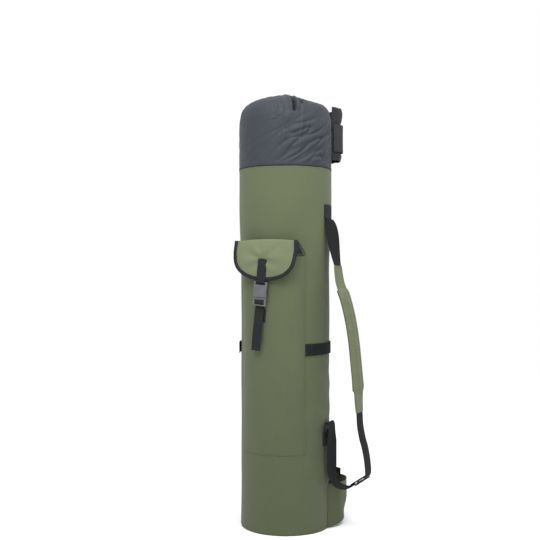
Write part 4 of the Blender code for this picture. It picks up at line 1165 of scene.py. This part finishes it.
def make_band():
    def place(s, t):
        azimuth = 24.6 + 253.4 * s
        slack = 0.0009 + 0.0016 * np.sin(math.pi * s) ** 2 + 0.0025 * s**6
        sag = 0.0008 * np.sin(math.pi * s * 3)
        return around(azimuth, RADIUS + slack, BAND_LOW + (BAND_HIGH - BAND_LOW) * t + sag)

    band = surface("mid_band_webbing", place, 130, 6, (0.44, 0.025), FINISH["band"], WEBBING)
    dress(band, "root", "black_webbing", "mid_band")
    for low, high in ((0.004, 0.035), (0.965, 0.996)):
        box_seam(("root", "black_thread"), place, (low, high), (0.1, 0.9), WEBBING, 0.003, diagonals=1)


def make_rod_pockets():
    for side, (azimuth, half, depth_low, depth_top) in ROD_POCKETS.items():
        def place(s, t, azimuth=azimuth, half=half, depth_low=depth_low, depth_top=depth_top):
            x = np.sin((s - 0.5) * math.pi)
            floor = np.clip(t / ROD_POCKET_FLOOR, 0, 1)
            up = np.clip((t - ROD_POCKET_FLOOR) / (1 - ROD_POCKET_FLOOR), 0, 1)
            bulge = 0.015 + 0.985 * (1 - np.abs(x) ** 2.2)
            rounding = np.sin(floor * math.pi / 2)
            depth = (depth_low + (depth_top - depth_low) * up) * bulge * (0.06 + 0.94 * rounding)
            z = 0.0012 + (ROD_POCKET_TOP - 0.0015) * up + 0.011 * bulge * rounding * (1 - up) ** 2
            turn = azimuth + half * x
            points = around(turn, RADIUS, z)
            crush = 0.0040 * roll(points + depth[:, None] * 0.3, (0.022, 0.022, 0.045), 41.0)
            crush = (crush - 0.0022) * bulge * np.minimum(up * 4, 1)
            sewn_edge = cover_radius(turn, z) + FABRIC - 0.0003
            loose = np.clip(bulge / 0.25, 0, 1)
            return around(turn, sewn_edge + (RADIUS + 0.0009 - sewn_edge) * loose + depth + crush, z)

        size = (0.20, 0.13) if side == "right" else (0.155, 0.125)
        pocket = surface(f"rod_pocket_{side}_cloth", place, 90, 60, size, FINISH["cover"], FABRIC,
                         sharp=False)
        dress(pocket, "root", "cover_fabric", f"rod_pocket_{side}")
        group = ("root", "olive_thread")
        seam(group, place, [(0.04, 0.25), (0.04, 0.97), (0.96, 0.97), (0.96, 0.25)], FABRIC)
        seam(group, place, [(0.04, 0.92), (0.96, 0.92)], FABRIC)
        seam(group, place, [(0.06, 0.22), (0.94, 0.22)], FABRIC)
    low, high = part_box("rod_pocket_tab")
    centre = (np.array(low) + np.array(high)) / 2
    azimuth = math.degrees(math.atan2(centre[0], -centre[1]))

    def tab(s, t):
        radius = math.hypot(centre[0], centre[1]) - 0.0004 - 0.0010 * np.sin(t * math.pi)
        return around(azimuth + 8.6 * (s - 0.5), radius, low[2] + (high[2] - low[2]) * t)

    made = surface("rod_pocket_loop", tab, 8, 12, (0.018, 0.019), FINISH["webbing"], 0.0012)
    dress(made, "root", "black_webbing", "rod_pocket_tab")


def make_rod_wraps():
    for side, (azimuth, half, depth) in ROD_WRAPS.items():
        def sleeve(s, t, azimuth=azimuth, half=half, depth=depth, stand=0.0009, low=WRAP_LOW, high=WRAP_HIGH,
                   reach=1.0, rough=1.0):
            x = np.sin((s - 0.5) * math.pi)
            z = low + (high - low) * t - 0.0050 * rough * t**2
            bulge = 1 - np.abs(x * reach) ** 2.4
            points = around(azimuth + half * x, 0.1, z)
            crush = (0.0034 * roll(points, (0.014, 0.014, 0.022), 51.0) - 0.0008) * rough
            crush = crush - 0.0026 * rough * (bump(z, STRAP_LOW, 0.005) + bump(z, STRAP_HIGH, 0.005))
            crush = crush - 0.0026 * rough * (bump(z, low, 0.008) + bump(z, high, 0.010))
            z = z + 0.0030 * rough * roll(points * (1, 1, 0), (0.012, 0.012, 1), 55.0) * (2 * t - 1) * bulge
            return around(azimuth + half * x, RADIUS_TOP + stand + depth * bulge + crush * bulge, z)

        size = (0.10, WRAP_HIGH - WRAP_LOW)
        wrap = surface(f"rod_wrap_{side}_cloth", sleeve, 60, 70, size, FINISH["wrap"], 0.0010)
        dress(wrap, "root", "collar_nylon", f"rod_wrap_{side}")
        box_seam(("root", "black_thread"), sleeve, (0.03, 0.97), (0.03, 0.97), 0.0009)

        def strap(s, t, sleeve=sleeve):
            base = sleeve(s, t, stand=0.0030, low=STRAP_LOW, high=STRAP_HIGH, reach=0.97, rough=0.0)
            lift = 0.0007 * np.sin(t * math.pi) * np.sin(s * 9)
            return base + np.stack([lift * base[:, 0] * 8, lift * base[:, 1] * 8, 0 * lift], -1)

        size = (0.10, STRAP_HIGH - STRAP_LOW)
        made = surface(f"rod_wrap_tape_{side}", strap, 60, 16, size, FINISH["hook_loop"], 0.0013)
        dress(made, f"wrap_strap_{side}", "black_webbing", f"rod_wrap_strap_{side}")
        box_seam((f"wrap_strap_{side}", "black_thread"), strap, (0.04, 0.96), (0.06, 0.94), 0.0014)


# ---------------------------------------------------------------- what stays as CAD

def finish_frame_nodes():
    looks = {
        "plastic": ["buckle_socket", "buckle_plug", "buckle_prong_left", "buckle_prong_right"],
        "black_plastic": ["anchor_ring", "tri_glide", "cord_lock_body", "cord_lock_button"],
        "wire": ["cord_lock_spring"],
        "foam": ["foam_liner"],
        "lining": ["inner_lining"],
        "board": ["base_board"],
        "cover": ["base_panel"],
    }
    for finish, nodes in looks.items():
        for node in nodes:
            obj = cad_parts[node]
            obj.data.materials.clear()
            obj.data.materials.append(FINISH[finish])
    for node in ("buckle_socket", "buckle_plug", "tri_glide"):
        soften(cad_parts[node], 0.0005)


# ---------------------------------------------------------------- studio and camera

FLOOR_SPAN = 5.6


def make_studio():
    n = Nodes("floor_paper", (0.86, 0.86, 0.86), 0.9)
    n.shader.inputs["Emission Color"].default_value = (1, 1, 1, 1)
    n.shader.inputs["Emission Strength"].default_value = 0.06
    n.color_by(n.noise(n.place(), 3.0), (0.85, 0.85, 0.85), (0.87, 0.87, 0.87))

    def floor_place(s, t):
        return np.stack([(s - 0.5) * FLOOR_SPAN, (t - 0.5) * FLOOR_SPAN, 0 * s - 0.0002], -1)

    surface("floor", floor_place, 8, 8, (FLOOR_SPAN, FLOOR_SPAN), n.material)
    world = bpy.data.worlds.new("studio")
    world.use_nodes = True
    world.node_tree.nodes["Background"].inputs[0].default_value = (1, 1, 1, 1)
    world.node_tree.nodes["Background"].inputs[1].default_value = 1.0
    bpy.context.scene.world = world
    lamps = {
        "key": ((-0.5, -1.5, 2.15), (0, 0, 0.88), 0.9, 38),
        "top": ((0.6, -0.9, 2.2), (0, 0, 0.85), 1.0, 22),
    }
    for name, (place_at, aim, size, power) in lamps.items():
        lamp = bpy.data.lights.new(name, "AREA")
        lamp.size = size
        lamp.energy = power
        obj = bpy.data.objects.new(name, lamp)
        obj.location = place_at
        obj.rotation_euler = (Vector(aim) - Vector(place_at)).to_track_quat("-Z", "Y").to_euler()
        bpy.context.scene.collection.objects.link(obj)


def make_camera():
    """A longish lens, nearly level, above the case's middle, with the case a little right of the centre."""
    data = bpy.data.cameras.new("camera")
    data.sensor_width, data.lens = 36.0, 60.0
    camera = bpy.data.objects.new("camera", data)
    camera.location = (-0.034, -2.0, 0.552)
    camera.rotation_euler = (math.radians(90.32), 0, 0)
    bpy.context.scene.collection.objects.link(camera)
    bpy.context.scene.camera = camera
    bpy.context.scene.view_settings.view_transform = "Standard"


make_camera()
make_cover()
make_collar()
make_drawcord()
make_pocket()
make_flap()
make_buckle_webbing()
make_band()
make_rod_pockets()
make_rod_wraps()
make_strap()
finish_frame_nodes()
make_stitches()
make_studio()
